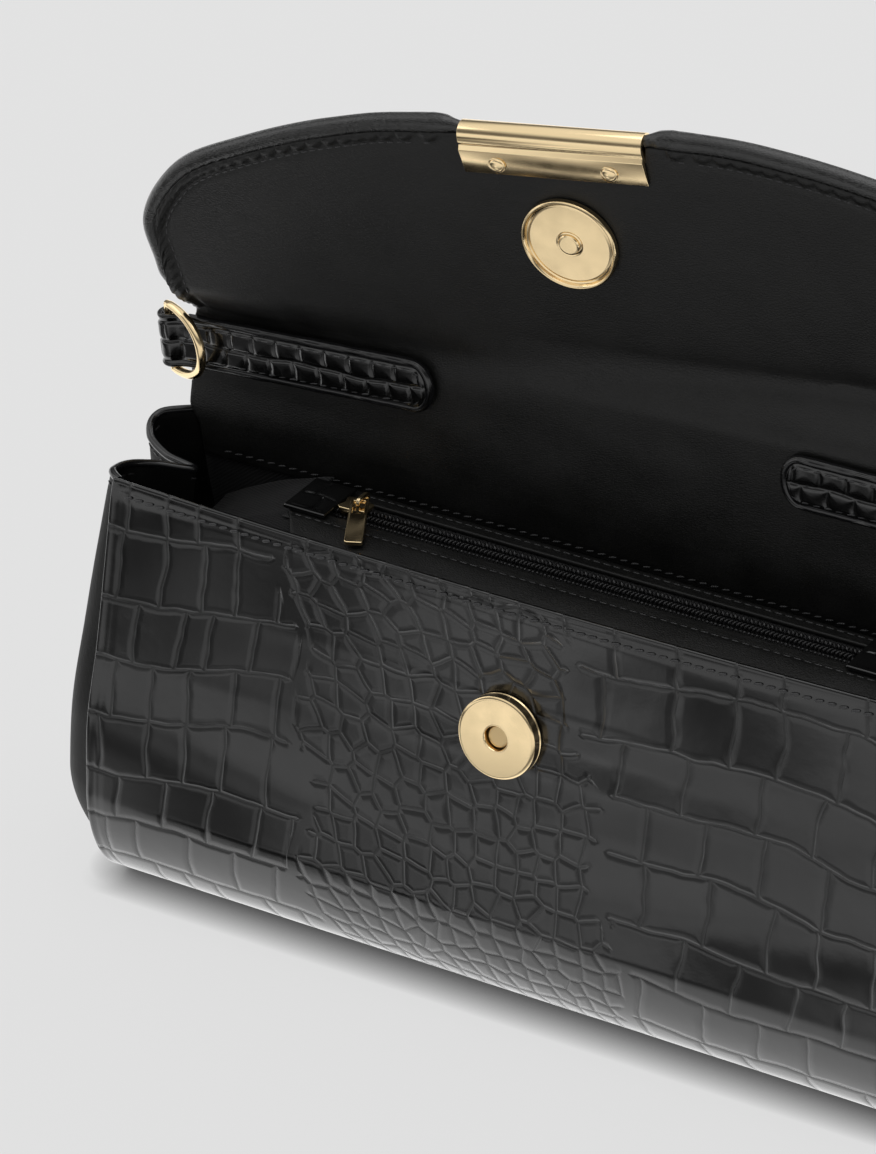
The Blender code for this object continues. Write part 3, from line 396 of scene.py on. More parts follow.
def plain_relief(u: Array, v: Array, across: Array, down: Array) -> Pair:
    """No relief at all."""
    return np.zeros_like(u), np.zeros_like(u)


@dataclass
class Skin:
    """A closed sheet of leather or cloth: a fine outer face, a rounded edge, a plain inner face.

    The surface gives the outer face for (across, down), each 0 to 1. Edges are named in the
    order down 0, across 1, down 1, across 0; one that isn't rounded meets another sheet.
    """

    name: str
    surface: Surface
    length: Length
    columns: int
    rows: int
    thickness: float = LEATHER
    relief: Relief = plain_relief
    rounded: tuple[bool, bool, bool, bool] = (True, True, True, True)
    flip: int = 1
    inner: tuple[int, int] = (24, 16)
    scales: ScalePattern | None = None

    def _normals(self, across: Array, down: Array) -> Array:
        """Unit normals of the outer face."""
        right = self.surface(np.minimum(across + NORMAL_REACH, 1.0), down)
        left = self.surface(np.maximum(across - NORMAL_REACH, 0.0), down)
        low = self.surface(across, np.minimum(down + NORMAL_REACH, 1.0))
        high = self.surface(across, np.maximum(down - NORMAL_REACH, 0.0))
        return units(np.cross(right - left, low - high) * self.flip)

    def build(self) -> Object:
        """Models the sheet.

        Returns:
            The mesh object, with a UV map in metres and an attribute named groove.
        """
        across, down, index = self._grid()
        u, v = self.length(across, down)
        height, groove = self.relief(u, v, across, down)
        normal = self._normals(across, down)
        outer = self.surface(across, down) + normal * height[:, None]
        loop, soft = self._border(index)
        points, faces = [outer], grid_faces(index)
        previous = loop
        for ring in self._edge(outer[loop], normal[loop], soft):
            current = sum(len(part) for part in points) + np.arange(len(loop))
            points.append(ring)
            after, ahead = np.roll(previous, -1), np.roll(current, -1)
            faces += list(zip(previous.tolist(), after.tolist(), ahead.tolist(), current.tolist()))
            previous = current
        shares = (np.linspace(INNER_START, 1 - INNER_START, count + 1) for count in self.inner)
        in_across, in_down = (grid.ravel() for grid in np.meshgrid(*shares))
        numbers = sum(len(part) for part in points) + np.arange(in_across.size)
        inner_index = numbers.reshape(self.inner[1] + 1, self.inner[0] + 1)
        points.append(self.surface(in_across, in_down) - self._normals(in_across, in_down) * self.thickness)
        faces += grid_faces(inner_index)
        faces += self._seam(previous, self._border(inner_index)[0])
        obj = new_mesh(self.name, np.concatenate(points), faces)
        self._close(obj)
        in_u, in_v = self.length(in_across, in_down)
        rings = len(EDGE_RINGS)
        all_u = np.concatenate([u] + [u[loop]] * rings + [in_u])
        all_v = np.concatenate([v] + [v[loop]] * rings + [in_v])
        deep = np.zeros(len(all_u))
        deep[: len(groove)] = groove
        self._map(obj, "UVMap", np.stack((all_u, all_v), axis=1))
        self._mark(obj, "groove", deep)
        if self.scales is not None:
            big, small, inside = self.scales.coordinates(all_u / MM, all_v / MM)
            self._map(obj, "plates", big)
            self._map(obj, "cells", small)
            self._mark(obj, "middle", inside)
        select_only(obj)
        bpy.ops.object.shade_smooth_by_angle(angle=math.radians(60))
        return obj

    def _grid(self) -> tuple[Array, Array, Array]:
        """The outer face's shares across and down, and its points' numbers as a grid."""
        bpy.ops.object.select_all(action="DESELECT")
        bpy.ops.mesh.primitive_grid_add(
            x_subdivisions=self.columns, y_subdivisions=self.rows, size=1, calc_uvs=False
        )
        grid = bpy.context.active_object
        co = vertices_of(grid)
        bpy.data.objects.remove(grid)
        across, down = np.clip(co[:, 0] + 0.5, 0, 1), np.clip(co[:, 1] + 0.5, 0, 1)
        index = np.empty((self.rows + 1, self.columns + 1), int)
        place = (np.rint(down * self.rows).astype(int), np.rint(across * self.columns).astype(int))
        index[place] = np.arange(len(across))
        return across, down, index

    def _edge(self, border: Array, normal: Array, soft: Array) -> list[Array]:
        """The rings of points that turn from the outer face's border to the inner face."""
        tangent = np.roll(border, -1, axis=0) - np.roll(border, 1, axis=0)
        out = units(np.cross(tangent, normal))
        if ((border - border.mean(axis=0)) * out).sum() < 0:
            out = -out
        rings = []
        for reach, depth in EDGE_RINGS:
            kept = np.where(soft, 1.0, 0.0 if reach > 0 else 1.0)
            ring = border - normal * (self.thickness * depth)
            rings.append(ring + out * (self.thickness * reach * kept)[:, None])
        return rings

    def _border(self, index: Array) -> Pair:
        """The outer face's border in order, and which of its points lie on a rounded edge."""
        sides = (index[0, :-1], index[:-1, -1], index[-1, :0:-1], index[:0:-1, 0])
        loop = np.concatenate(sides)
        soft = np.concatenate([np.full(len(s), self.rounded[k]) for k, s in enumerate(sides)])
        start = 0
        for k, side in enumerate(sides):
            if not self.rounded[k - 1]:
                soft[start] = False
            start += len(side)
        return loop, soft

    def _seam(self, fine: Array, coarse: Array) -> list[tuple[int, int, int]]:
        """The triangles between the rounded edge and the inner face's border."""
        places = []
        for columns, rows in ((self.columns, self.rows), self.inner):
            counts = (columns, rows, columns, rows)
            steps = [side + np.arange(count) / count for side, count in enumerate(counts)]
            places.append(np.append(np.concatenate(steps), 4.0))
        faces = []
        i, j = 0, 0
        while i < len(fine) or j < len(coarse):
            a, b = int(fine[i % len(fine)]), int(coarse[j % len(coarse)])
            fine_next = places[0][i + 1] if i < len(fine) else 9.0
            coarse_next = places[1][j + 1] if j < len(coarse) else 9.0
            if fine_next <= coarse_next:
                i += 1
                faces.append((a, int(fine[i % len(fine)]), b))
            else:
                j += 1
                faces.append((a, int(coarse[j % len(coarse)]), b))
        return faces

    def _close(self, obj: Object) -> None:
        """Turns the faces of the closed sheet outwards."""
        select_only(obj)
        bpy.ops.object.mode_set(mode="EDIT")
        bpy.ops.mesh.select_all(action="SELECT")
        bpy.ops.mesh.normals_make_consistent(inside=False)
        bpy.ops.object.mode_set(mode="OBJECT")

    def _map(self, obj: Object, name: str, pairs: Array) -> None:
        """Writes a UV map from a pair for each vertex."""
        layer = obj.data.uv_layers.new(name=name)
        corner = np.empty(len(obj.data.loops), int)
        obj.data.loops.foreach_get("vertex_index", corner)
        layer.data.foreach_set("uv", pairs[corner].ravel().astype(np.float32))

    def _mark(self, obj: Object, name: str, values: Array) -> None:
        """Writes a value for each vertex."""
        attribute = obj.data.attributes.new(name, "FLOAT", "POINT")
        attribute.data.foreach_set("value", values.astype(np.float32))


def bend(first: Array, first_way: Array, last: Array, last_way: Array, share: Array) -> Array:
    """A smooth curve between two rows of points, leaving and arriving along the given ways."""
    t = share[:, None]
    span = np.linalg.norm(last - first, axis=1)[:, None]
    return (
        (2 * t**3 - 3 * t**2 + 1) * first
        + (t**3 - 2 * t**2 + t) * first_way * span
        + (3 * t**2 - 2 * t**3) * last
        + (t**3 - t**2) * last_way * span
    )


def capsules(
    name: str, centres: Array, ways: Array, normals: Array, half: float, radius: float
) -> Object:
    """Many small rounded bars as one mesh: one is modelled, and the rest are its copies.

    Args:
        name: The object's name.
        centres: Where each bar lies.
        ways: Each bar's direction.
        normals: Each bar's outward side.
        half: Half a bar's length.
        radius: A bar's radius across.

    Returns:
        The mesh object.
    """
    bpy.ops.object.select_all(action="DESELECT")
    bpy.ops.mesh.primitive_uv_sphere_add(segments=8, ring_count=6, radius=1.0)
    ball = bpy.context.active_object
    ball.rotation_euler = (0.0, math.pi / 2, 0.0)
    bpy.ops.object.transform_apply(rotation=True)
    unit = vertices_of(ball)
    unit[:, 0] = np.sign(unit[:, 0]) * np.abs(unit[:, 0]) ** 0.7
    faces = [tuple(polygon.vertices) for polygon in ball.data.polygons]
    bpy.data.objects.remove(ball)
    ways = units(ways)
    cross = units(np.cross(normals, ways))
    up = np.cross(ways, cross)
    parts = (
        centres[:, None, :]
        + ways[:, None, :] * (unit[None, :, :1] * half)
        + cross[:, None, :] * (unit[None, :, 1:2] * radius)
        + up[:, None, :] * (unit[None, :, 2:] * radius * 0.8)
    )
    count = len(unit)
    every = [tuple(i + k * count for i in face) for k in range(len(centres)) for face in faces]
    obj = new_mesh(name, parts.reshape(-1, 3), every)
    obj.data.shade_smooth()
    return obj


@dataclass
class Stitching:
    """A row of thread stitches along a path on a surface."""

    pitch: float = 0.0031
    half: float = 0.00115
    radius: float = 0.00030
    slant: float = math.radians(14)
    sink: float = 0.00004

    def sew(self, name: str, path: Array, normals: Array) -> Object:
        """Lays the stitches.

        Args:
            name: The row's name.
            path: Points along the seam.
            normals: The surface's normal at each point, or one for the whole seam.

        Returns:
            The row as one mesh object.
        """
        normals = np.broadcast_to(normals, path.shape)
        steps = np.linalg.norm(np.diff(path, axis=0), axis=1)
        run = np.concatenate(((0.0,), np.cumsum(steps)))
        count = max(int(run[-1] / self.pitch), 1)
        at = (np.arange(count) + 0.5) * run[-1] / count

        def read(rows: Array, places: Array) -> Array:
            return np.stack([np.interp(places, run, rows[:, k]) for k in range(3)], axis=1)

        centres = read(path, at)
        up = units(read(normals, at))
        way = units(read(path, at + self.half) - read(path, at - self.half))
        way = way * math.cos(self.slant) + np.cross(up, way) * math.sin(self.slant)
        return capsules(name, centres - up * self.sink, way, up, self.half, self.radius)

    def seam(self, name: str, path: Array, normals: Array, body: str, slot: str) -> None:
        """Sews a row and gives it its finish."""
        finish(self.sew(name, path, normals), THREAD, body, slot)


def supported(points: Outline, near: float = 0.00012) -> list[tuple[float, float]]:
    """A profile with a point added near both ends of each long run, so that flats shade flat."""
    held = [points[0]]
    for (x0, y0), (x1, y1) in zip(points, points[1:]):
        length = math.hypot(x1 - x0, y1 - y0)
        if length > 5 * near:
            share = near / length
            held.append((x0 + (x1 - x0) * share, y0 + (y1 - y0) * share))
            held.append((x1 - (x1 - x0) * share, y1 - (y1 - y0) * share))
        held.append((x1, y1))
    return held


def lathe(name: str, profile: Outline, matrix: Array, steps: int = 96) -> Object:
    """A turned piece.

    Args:
        name: The object's name.
        profile: (radius, height) points, in metres.
        matrix: The frame whose Z is the turning axis.
        steps: How many steps the turn has.

    Returns:
        The mesh object.
    """
    points = np.array([(radius, 0.0, height) for radius, height in supported(profile)])
    obj = new_mesh(name, points, [])
    edges = [(k, k + 1) for k in range(len(points) - 1)]
    if min(radius for radius, _ in profile) > 0:
        edges.append((len(points) - 1, 0))
    obj.data.edges.add(len(edges))
    obj.data.edges.foreach_set("vertices", [corner for edge in edges for corner in edge])
    obj.data.update()
    select_only(obj)
    bpy.ops.object.mode_set(mode="EDIT")
    bpy.ops.mesh.select_all(action="SELECT")
    bpy.ops.mesh.spin(steps=steps, angle=2 * math.pi, center=(0, 0, 0), axis=(0, 0, 1))
    bpy.ops.mesh.select_all(action="SELECT")
    bpy.ops.mesh.remove_doubles(threshold=0.000002)
    bpy.ops.object.mode_set(mode="OBJECT")
    return settle(obj, matrix, 32)


def prism(name: str, outline: Outline, low: float, high: float) -> Object:
    """An outline filled and extruded from low to high."""
    points = np.array([(x, y, low) for x, y in outline])
    obj = new_mesh(name, points, [tuple(range(len(points)))])
    select_only(obj)
    bpy.ops.object.mode_set(mode="EDIT")
    bpy.ops.mesh.select_all(action="SELECT")
    bpy.ops.mesh.extrude_region_move(TRANSFORM_OT_translate={"value": (0, 0, high - low)})
    bpy.ops.mesh.select_all(action="SELECT")
    bpy.ops.mesh.normals_make_consistent(inside=False)
    bpy.ops.object.mode_set(mode="OBJECT")
    return obj


def plate(
    name: str,
    outline: Outline,
    low: float,
    high: float,
    edge: float,
    windows: Sequence[Outline] = (),
) -> Object:
    """A flat plate with its edges rounded, and windows cut through it.

    Args:
        name: The object's name.
        outline: Its outline.
        low: The level of its lower face.
        high: The level of its upper face.
        edge: How far its edges are rounded.
        windows: The outlines of its windows.

    Returns:
        The mesh object.
    """
    obj = prism(name, outline, low, high)
    cutters = [prism(f"{name}_window", window, low - MM, high + MM) for window in windows]
    for cutter in cutters:
        cut = obj.modifiers.new("window", "BOOLEAN")
        cut.object = cutter
        cut.solver = "EXACT"
    rounding = obj.modifiers.new("edge", "BEVEL")
    rounding.width = edge
    rounding.segments = 3
    rounding.limit_method = "ANGLE"
    rounding.angle_limit = math.radians(35)
    apply_modifiers(obj)
    for cutter in cutters:
        bpy.data.objects.remove(cutter)
    return obj


def block(name: str, low: Sequence[float], high: Sequence[float], edge: float) -> Object:
    """A block between two corners with its edges rounded."""
    outline = ((low[0], low[1]), (high[0], low[1]), (high[0], high[1]), (low[0], high[1]))
    return plate(name, outline, low[2], high[2], edge)


def joined(name: str, pieces: Sequence[Object]) -> Object:
    """Several mesh objects as one, named anew."""
    bpy.ops.object.select_all(action="DESELECT")
    for piece in pieces:
        piece.select_set(True)
    bpy.context.view_layer.objects.active = pieces[0]
    bpy.ops.object.join()
    pieces[0].name = name
    return pieces[0]


def wire(
    name: str,
    points: Array,
    radius: float,
    cyclic: bool = False,
    shares: Array | None = None,
    round_steps: int = 5,
) -> Object:
    """A round wire or roll along points, as a mesh.

    Args:
        name: The object's name.
        points: The points it follows.
        radius: Its radius.
        cyclic: Whether it closes on itself.
        shares: How much of the radius it has at each point.
        round_steps: How finely it is rounded.

    Returns:
        The mesh object.
    """
    curve = bpy.data.curves.new(name, "CURVE")
    curve.dimensions = "3D"
    curve.bevel_depth = radius
    curve.bevel_resolution = round_steps
    curve.use_fill_caps = True
    spline = curve.splines.new("POLY")
    spline.points.add(len(points) - 1)
    for k, point in enumerate(points):
        spline.points[k].co = (*point, 1.0)
        spline.points[k].radius = 1.0 if shares is None else float(shares[k])
    spline.use_cyclic_u = cyclic
    obj = bpy.data.objects.new(name, curve)
    bpy.context.scene.collection.objects.link(obj)
    select_only(obj)
    bpy.ops.object.convert(target="MESH")
    return settle(bpy.context.active_object, None, 50)


# Finishes


def linear(hex_code: str) -> tuple[float, float, float, float]:
    """An sRGB hex colour as linear RGBA."""
    channels = [int(hex_code[k : k + 2], 16) / 255 for k in (1, 3, 5)]
    return (*(c / 12.92 if c <= 0.04045 else ((c + 0.055) / 1.055) ** 2.4 for c in channels), 1.0)


def feed(tree: Tree, node: bpy.types.Node, values: dict) -> None:
    """Gives a node's inputs another node's output, or a plain value."""
    for key, value in values.items():
        if isinstance(value, Socket):
            tree.links.new(value, node.inputs[key])
        else:
            node.inputs[key].default_value = value


def add(tree: Tree, kind: str, values: dict | None = None, **settings: object) -> bpy.types.Node:
    """Adds a shader node.

    Args:
        tree: The node tree to add to.
        kind: The node's type, without its ShaderNode prefix.
        values: What each input gets.
        settings: The node's own properties.

    Returns:
        The node.
    """
    node = tree.nodes.new("ShaderNode" + kind)
    for key, value in settings.items():
        setattr(node, key, value)
    feed(tree, node, values or {})
    return node


def calc(tree: Tree, operation: str, *values: Any, kind: str = "Math") -> Socket:
    """The result of a calculation on numbers, or on vectors with kind VectorMath."""
    return add(tree, kind, dict(enumerate(values)), operation=operation).outputs[0]


def mix(tree: Tree, share: Socket | float, first: Any, last: Any, blend: str = "MIX") -> Socket:
    """A blend of two colours."""
    values = {"Fac": share, "Color1": first, "Color2": last}
    return add(tree, "MixRGB", values, blend_type=blend).outputs["Color"]


def ramp(tree: Tree, value: Socket, low: float, high: float, first: float, last: float) -> Socket:
    """A value carried from one range to another, held at both ends."""
    values = {"Value": value, "From Min": low, "From Max": high, "To Min": first, "To Max": last}
    return add(tree, "MapRange", values, clamp=True).outputs["Result"]


def profile(tree: Tree, value: Socket, stops: Outline) -> Socket:
    """A grey level read off stops, which are pairs of a place from 0 to 1 and a level, in order."""
    node = add(tree, "ValToRGB", {"Fac": value})
    elements = node.color_ramp.elements
    elements.remove(elements[1])
    elements[0].position = stops[0][0]
    elements[0].color = (stops[0][1],) * 3 + (1.0,)
    for place, level in stops[1:]:
        elements.new(place).color = (level, level, level, 1.0)
    return node.outputs["Color"]


def noise(tree: Tree, place: Socket, size: float, detail: float = 3.0) -> Socket:
    """A noise whose blotches are about size metres wide."""
    return add(tree, "TexNoise", {"Vector": place, "Scale": 0.6 / size, "Detail": detail}).outputs["Fac"]


def ribs_of(tree: Tree, place: Socket, rib: float, **values: float) -> Socket:
    """Waves whose ribs are about rib metres wide."""
    values = {"Vector": place, "Scale": 0.314 / rib, **values}
    return add(tree, "TexWave", values).outputs["Fac"]


def borders(tree: Tree, dimensions: str, values: dict) -> Socket:
    """How far each place is from the nearest border between cells."""
    settings = {"voronoi_dimensions": dimensions, "feature": "DISTANCE_TO_EDGE"}
    return add(tree, "TexVoronoi", values, **settings).outputs["Distance"]


def bump(tree: Tree, height: Socket, deep: float, under: Socket | None = None) -> Socket:
    """A bump of a given depth in metres, over another one if there is one."""
    values = {"Height": height, "Distance": deep, "Strength": 1.0}
    if under is not None:
        values["Normal"] = under
    return add(tree, "Bump", values).outputs["Normal"]


class Space(Enum):
    """Which coordinates a finish follows."""

    SHEET = "UV"
    PLACE = "Object"


@dataclass(frozen=True)
class Finish:
    """What every finish has: its colour, and how rough and metallic it is."""

    name: str
    colour: str
    roughness: float
    metallic: float = 0.0
    space: Space = Space.PLACE

    def material(self) -> bpy.types.Material:
        """Makes the material."""
        made = bpy.data.materials.new(self.name)
        made.use_nodes = True
        tree = made.node_tree
        place = add(tree, "TexCoord").outputs[self.space.value]
        plain = {"Base Color": linear(self.colour), "Roughness": self.roughness, "Metallic": self.metallic}
        feed(tree, tree.nodes["Principled BSDF"], plain | self.dress(tree, place))
        return made

    def dress(self, tree: Tree, place: Socket) -> dict[str, Any]:
        """The finish's own pattern, as what it gives to the shader's inputs."""
        return {}


@dataclass(frozen=True)
class PatentCroc(Finish):
    """Embossed cowhide under a lacquer film: black, glossy, uneven, duller in its grooves, where painted
    shade darkens it.
    """

    def dress(self, tree: Tree, place: Socket) -> dict[str, Any]:
        """The lacquer's unevenness, the pores, the grooves' dullness and their painted shade."""
        groove = add(tree, "Attribute", attribute_name="groove").outputs["Fac"]
        cloud = noise(tree, place, 14.0 * MM)
        even = ramp(tree, cloud, 0.3, 0.7, self.roughness - 0.04, self.roughness + 0.05)
        swell = bump(tree, noise(tree, place, 5.0 * MM, 2.0), 0.10 * MM)
        pores = noise(tree, place, 0.45 * MM, 2.0)
        return {
            # Painted shade: the base colour darkens in the grooves; their extra roughness is real
            "Base Color": mix(tree, groove, linear(self.colour), linear("#050505")),
            "Roughness": calc(tree, "ADD", even, calc(tree, "MULTIPLY", groove, 0.16)),
            "Normal": bump(tree, pores, 0.012 * MM, swell),
            "IOR": 1.52,
            "Coat Weight": 0.35,
            "Coat Roughness": 0.08,
        }


@dataclass(frozen=True)
class ScaledCroc(PatentCroc):
    """The same hide where the scales are drawn from a sheet's own plate and cell coordinates."""

    plate: float = 12.0
    row: float = 15.0
    cell: float = 6.0
    line: float = 0.46
    shoulder: float = 1.8
    apart: float = 5.0

    def dress(self, tree: Tree, place: Socket) -> dict[str, Any]:
        """Rows of plates, and rounded scales between them down the middle, with painted shade in the lines
        between them.
        """
        film = super().dress(tree, place)
        values = {"Vector": place, "Scale": 95.0, "Detail": 1.0}
        wander = add(tree, "TexNoise", values).outputs["Color"]
        offset = calc(tree, "SUBTRACT", wander, (0.5, 0.5, 0.5), kind="VectorMath")
        near = self._distance(tree, offset)
        rounded = calc(tree, "SINE", ramp(tree, near, 0.0, self.shoulder, 0.0, math.pi / 2))
        cut = ramp(tree, near, 0.0, self.line, 1.0, 0.0)
        height = calc(tree, "MULTIPLY_ADD", cut, -0.45, rounded)
        return film | {
            # Painted shade: the base colour darkens along the lines between scales; their extra roughness is
            # real
            "Base Color": mix(tree, cut, film["Base Color"], linear("#030303")),
            "Roughness": calc(tree, "MULTIPLY_ADD", cut, 0.30, film["Roughness"]),
            "Normal": bump(tree, height, 0.30 * MM, film["Normal"]),
        }

    def _distance(self, tree: Tree, offset: Socket) -> Socket:
        """How far each place is from the nearest line between scales, in millimetres."""
        inside = add(tree, "Attribute", attribute_name="middle").outputs["Fac"]
        outside = calc(tree, "SUBTRACT", 1.0, inside)
        away = calc(tree, "MULTIPLY_ADD", inside, self.apart, self._plates(tree, offset))
        apart = calc(tree, "MULTIPLY_ADD", outside, self.apart, self._cells(tree, offset))
        return calc(tree, "SMOOTH_MIN", away, apart, 0.5)

    def _plates(self, tree: Tree, offset: Socket) -> Socket:
        """The distance to the nearest line between plates: each row has its own columns."""
        plates = add(tree, "UVMap", uv_map="plates").outputs["UV"]
        loose = calc(tree, "MULTIPLY_ADD", offset, (0.22, 0.16, 0.0), plates, kind="VectorMath")
        parts = add(tree, "SeparateXYZ", {"Vector": loose}).outputs
        tall = calc(tree, "MULTIPLY", calc(tree, "PINGPONG", parts["Y"], 0.5), self.row)
        shifted = calc(tree, "MULTIPLY_ADD", calc(tree, "FLOOR", parts["Y"]), 17.31, parts["X"])
        column = borders(tree, "1D", {"W": shifted, "Scale": 1.0, "Randomness": 0.85})
        wide = calc(tree, "MULTIPLY", column, self.plate)
        return calc(tree, "MAXIMUM", calc(tree, "SMOOTH_MIN", wide, tall, 0.7), 0.0)

    def _cells(self, tree: Tree, offset: Socket) -> Socket:
        """The distance to the nearest line between the small scales."""
        cells = add(tree, "UVMap", uv_map="cells").outputs["UV"]
        loose = calc(tree, "MULTIPLY_ADD", offset, (0.30, 0.30, 0.0), cells, kind="VectorMath")
        cell = borders(tree, "2D", {"Vector": loose, "Scale": 1.0, "Randomness": 0.58})
        return calc(tree, "MULTIPLY", cell, self.cell)


@dataclass(frozen=True)
class GrainedLeather(Finish):
    """Soft finished lambskin: dark grey-black, satin, with a fine grain of short creases."""

    grain: float = 0.62 * MM
    gloss: float = 0.28

    def dress(self, tree: Tree, place: Socket) -> dict[str, Any]:
        """The grain, the slow unevenness of the hide and its sheen."""
        stretched = add(tree, "Mapping", {"Vector": place, "Scale": (0.62, 1.0, 1.0)}).outputs[0]
        fine = {"Vector": stretched, "Scale": 900.0, "Detail": 2.0}
        wobble = add(tree, "TexNoise", fine).outputs["Color"]
        moved = mix(tree, 0.0006, stretched, wobble, "ADD")
        cells = borders(tree, "3D", {"Vector": moved, "Scale": 1.0 / self.grain})
        creases = ramp(tree, cells, 0.0, 0.22, 0.0, 1.0)
        hide = noise(tree, place, 9.0 * MM, 4.0)
        tone = mix(tree, ramp(tree, hide, 0.35, 0.7, 0.0, 1.0), linear(self.colour), linear("#151514"))
        return {
            "Base Color": mix(tree, ramp(tree, creases, 0.0, 1.0, 0.35, 0.0), tone, linear("#0B0B0B")),
            "Roughness": ramp(tree, hide, 0.3, 0.7, self.roughness - 0.05, self.roughness + 0.06),
            "Normal": bump(tree, creases, 0.035 * MM, bump(tree, hide, 0.25 * MM)),
            "Specular IOR Level": self.gloss,
        }


@dataclass(frozen=True)
class TwillCloth(Finish):
    """Polyester twill: matte black, with diagonal ribs of fine thread."""

    rib: float = 0.85 * MM
    slant: float = math.radians(-50)

    def dress(self, tree: Tree, place: Socket) -> dict[str, Any]:
        """The ribs and the thread's own unevenness."""
        turned = add(tree, "Mapping", {"Vector": place, "Rotation": (0.0, 0.0, self.slant)}).outputs[0]
        ribs = ribs_of(tree, turned, self.rib, Distortion=0.6, Detail=1.0)
        return {
            "Base Color": mix(tree, ribs, linear("#040404"), linear(self.colour)),
            "Normal": bump(tree, ribs, 0.10 * MM),
            "Specular IOR Level": 0.25,
            "Sheen Weight": 0.05,
            "Sheen Roughness": 0.5,
        }


@dataclass(frozen=True)
class HerringboneTape(Finish):
    """Woven polyester zip tape: narrow chevrons of black thread."""

    rib: float = 0.62 * MM
    fold: float = 1.3 * MM

    def dress(self, tree: Tree, place: Socket) -> dict[str, Any]:
        """Folds the cloth's across coordinate back and forth, so that its ribs make chevrons."""
        parts = add(tree, "SeparateXYZ", {"Vector": place}).outputs
        chevron = calc(tree, "ADD", parts["X"], calc(tree, "PINGPONG", parts["Y"], self.fold))
        line = add(tree, "CombineXYZ", {"X": chevron}).outputs["Vector"]
        ribs = ribs_of(tree, line, self.rib, Distortion=0.0)
        return {
            "Base Color": mix(tree, ribs, linear("#060606"), linear(self.colour)),
            "Normal": bump(tree, ribs, 0.12 * MM),
        }


@dataclass(frozen=True)
class Thread(Finish):
    """Bonded nylon thread or coil: two or three twisted plies that catch the light."""

    def dress(self, tree: Tree, place: Socket) -> dict[str, Any]:
        """The twist."""
        values = {"Vector": place, "Scale": 900.0, "Distortion": 1.5}
        twist = add(tree, "TexWave", values, bands_direction="DIAGONAL").outputs["Fac"]
        return {"Normal": bump(tree, twist, 0.05 * MM)}


@dataclass(frozen=True)
class PaleGold(Finish):
    """A plated or bare metal: mirror-like when it is smooth, with faint handling haze."""

    def dress(self, tree: Tree, place: Socket) -> dict[str, Any]:
        """The haze and the metal's slight unevenness."""
        haze = noise(tree, place, 3.0 * MM, 4.0)
        fine = noise(tree, place, 0.5 * MM, 2.0)
        return {
            "Roughness": ramp(tree, haze, 0.3, 0.75, self.roughness, self.roughness + 0.07),
            "Normal": bump(tree, fine, 0.0015 * MM),
        }


@dataclass(frozen=True)
class PaintedEdge(Finish):
    """Thick acrylic edge paint: black, glossy, gently lumpy along its length."""

    def dress(self, tree: Tree, place: Socket) -> dict[str, Any]:
        """The lumps."""
        return {"Normal": bump(tree, noise(tree, place, 2.0 * MM, 2.0), 0.10 * MM)}


@dataclass(frozen=True)
class GreyBoard(Finish):
    """Pressed fibre board: matte, mottled by its fibres. It lies inside the leather."""

    def dress(self, tree: Tree, place: Socket) -> dict[str, Any]:
        """The fibres."""
        fibres = noise(tree, place, 1.5 * MM, 5.0)
        return {
            "Base Color": mix(tree, fibres, linear(self.colour), linear("#6E6656")),
            "Normal": bump(tree, fibres, 0.05 * MM),
        }


CROC = PatentCroc("croc_patent_small", "#080808", 0.17, space=Space.SHEET)
SCALES = ScaledCroc("croc_patent", "#080808", 0.19, space=Space.SHEET)
NAPPA = GrainedLeather("nappa_leather", "#0D0D0C", 0.44, space=Space.SHEET, gloss=0.34)
# Painted shade: a darker, duller copy of the nappa for the bellows, to quiet their bright reflections at
# grazing angles
NAPPA_SHADED = GrainedLeather("nappa_leather_painted_shade", "#070707", 0.52, space=Space.SHEET, gloss=0.12)
NAPPA_PLACE = GrainedLeather("nappa_leather_small", "#141413", 0.27, gloss=0.60)
TWILL = TwillCloth("twill_lining", "#1C1C1D", 0.90, space=Space.SHEET)
TAPE = HerringboneTape("zip_tape_weave", "#1D1D1E", 0.62, space=Space.SHEET)
THREAD = Thread("sewing_thread", "#252526", 0.32)
COIL = Thread("nylon_coil", "#141415", 0.30)
GOLD = PaleGold("pale_gold_plate", "#F3DAAC", 0.13, 1.0)
MATTE_GOLD = PaleGold("satin_gold_core", "#E6CA98", 0.38, 1.0)
EDGE = PaintedEdge("edge_paint", "#101011", 0.16)
CARD = GreyBoard("fibre_board", "#857B68", 0.85)
STEEL = PaleGold("steel_washer", "#B4B4B6", 0.35, 1.0)
IRON = PaleGold("ferrite_magnet", "#3A3A3C", 0.55, 1.0)


# Pieces


def material_of(material: Finish) -> bpy.types.Material:
    """The material of a finish, made the first time it is asked for."""
    return bpy.data.materials.get(material.name) or material.material()


def finish(obj: Object, material: Finish, body: str, slot: str, *nodes: str) -> Object:
    """Gives a piece its finish, its body and the CAD nodes that it stands for.

    Args:
        obj: The piece.
        material: Its finish.
        body: The CAD body it rides on; empty for a piece that spans two, which is left unattached.
        slot: The name of its material slot; not used.
        nodes: The CAD nodes that it replaces.

    Returns:
        The same piece.
    """
    obj.data.materials.clear()
    obj.data.materials.append(material_of(material))
    if nodes:
        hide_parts(*nodes)
    if body:
        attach(obj, body)
    LOG.info("%s: %d faces", obj.name, len(obj.data.polygons))
    return obj


def edge_fold(edge: Array) -> Array:
    """A turned and creased edge: a raised fold, a crease beside it and the seam's channel."""
    mm = edge / MM
    crease = -0.34 * np.exp(-(((mm - 1.7) / 0.42) ** 2))
    channel = -0.14 * np.exp(-(((mm - 3.3) / 0.75) ** 2))
    return (crease + channel) * MM


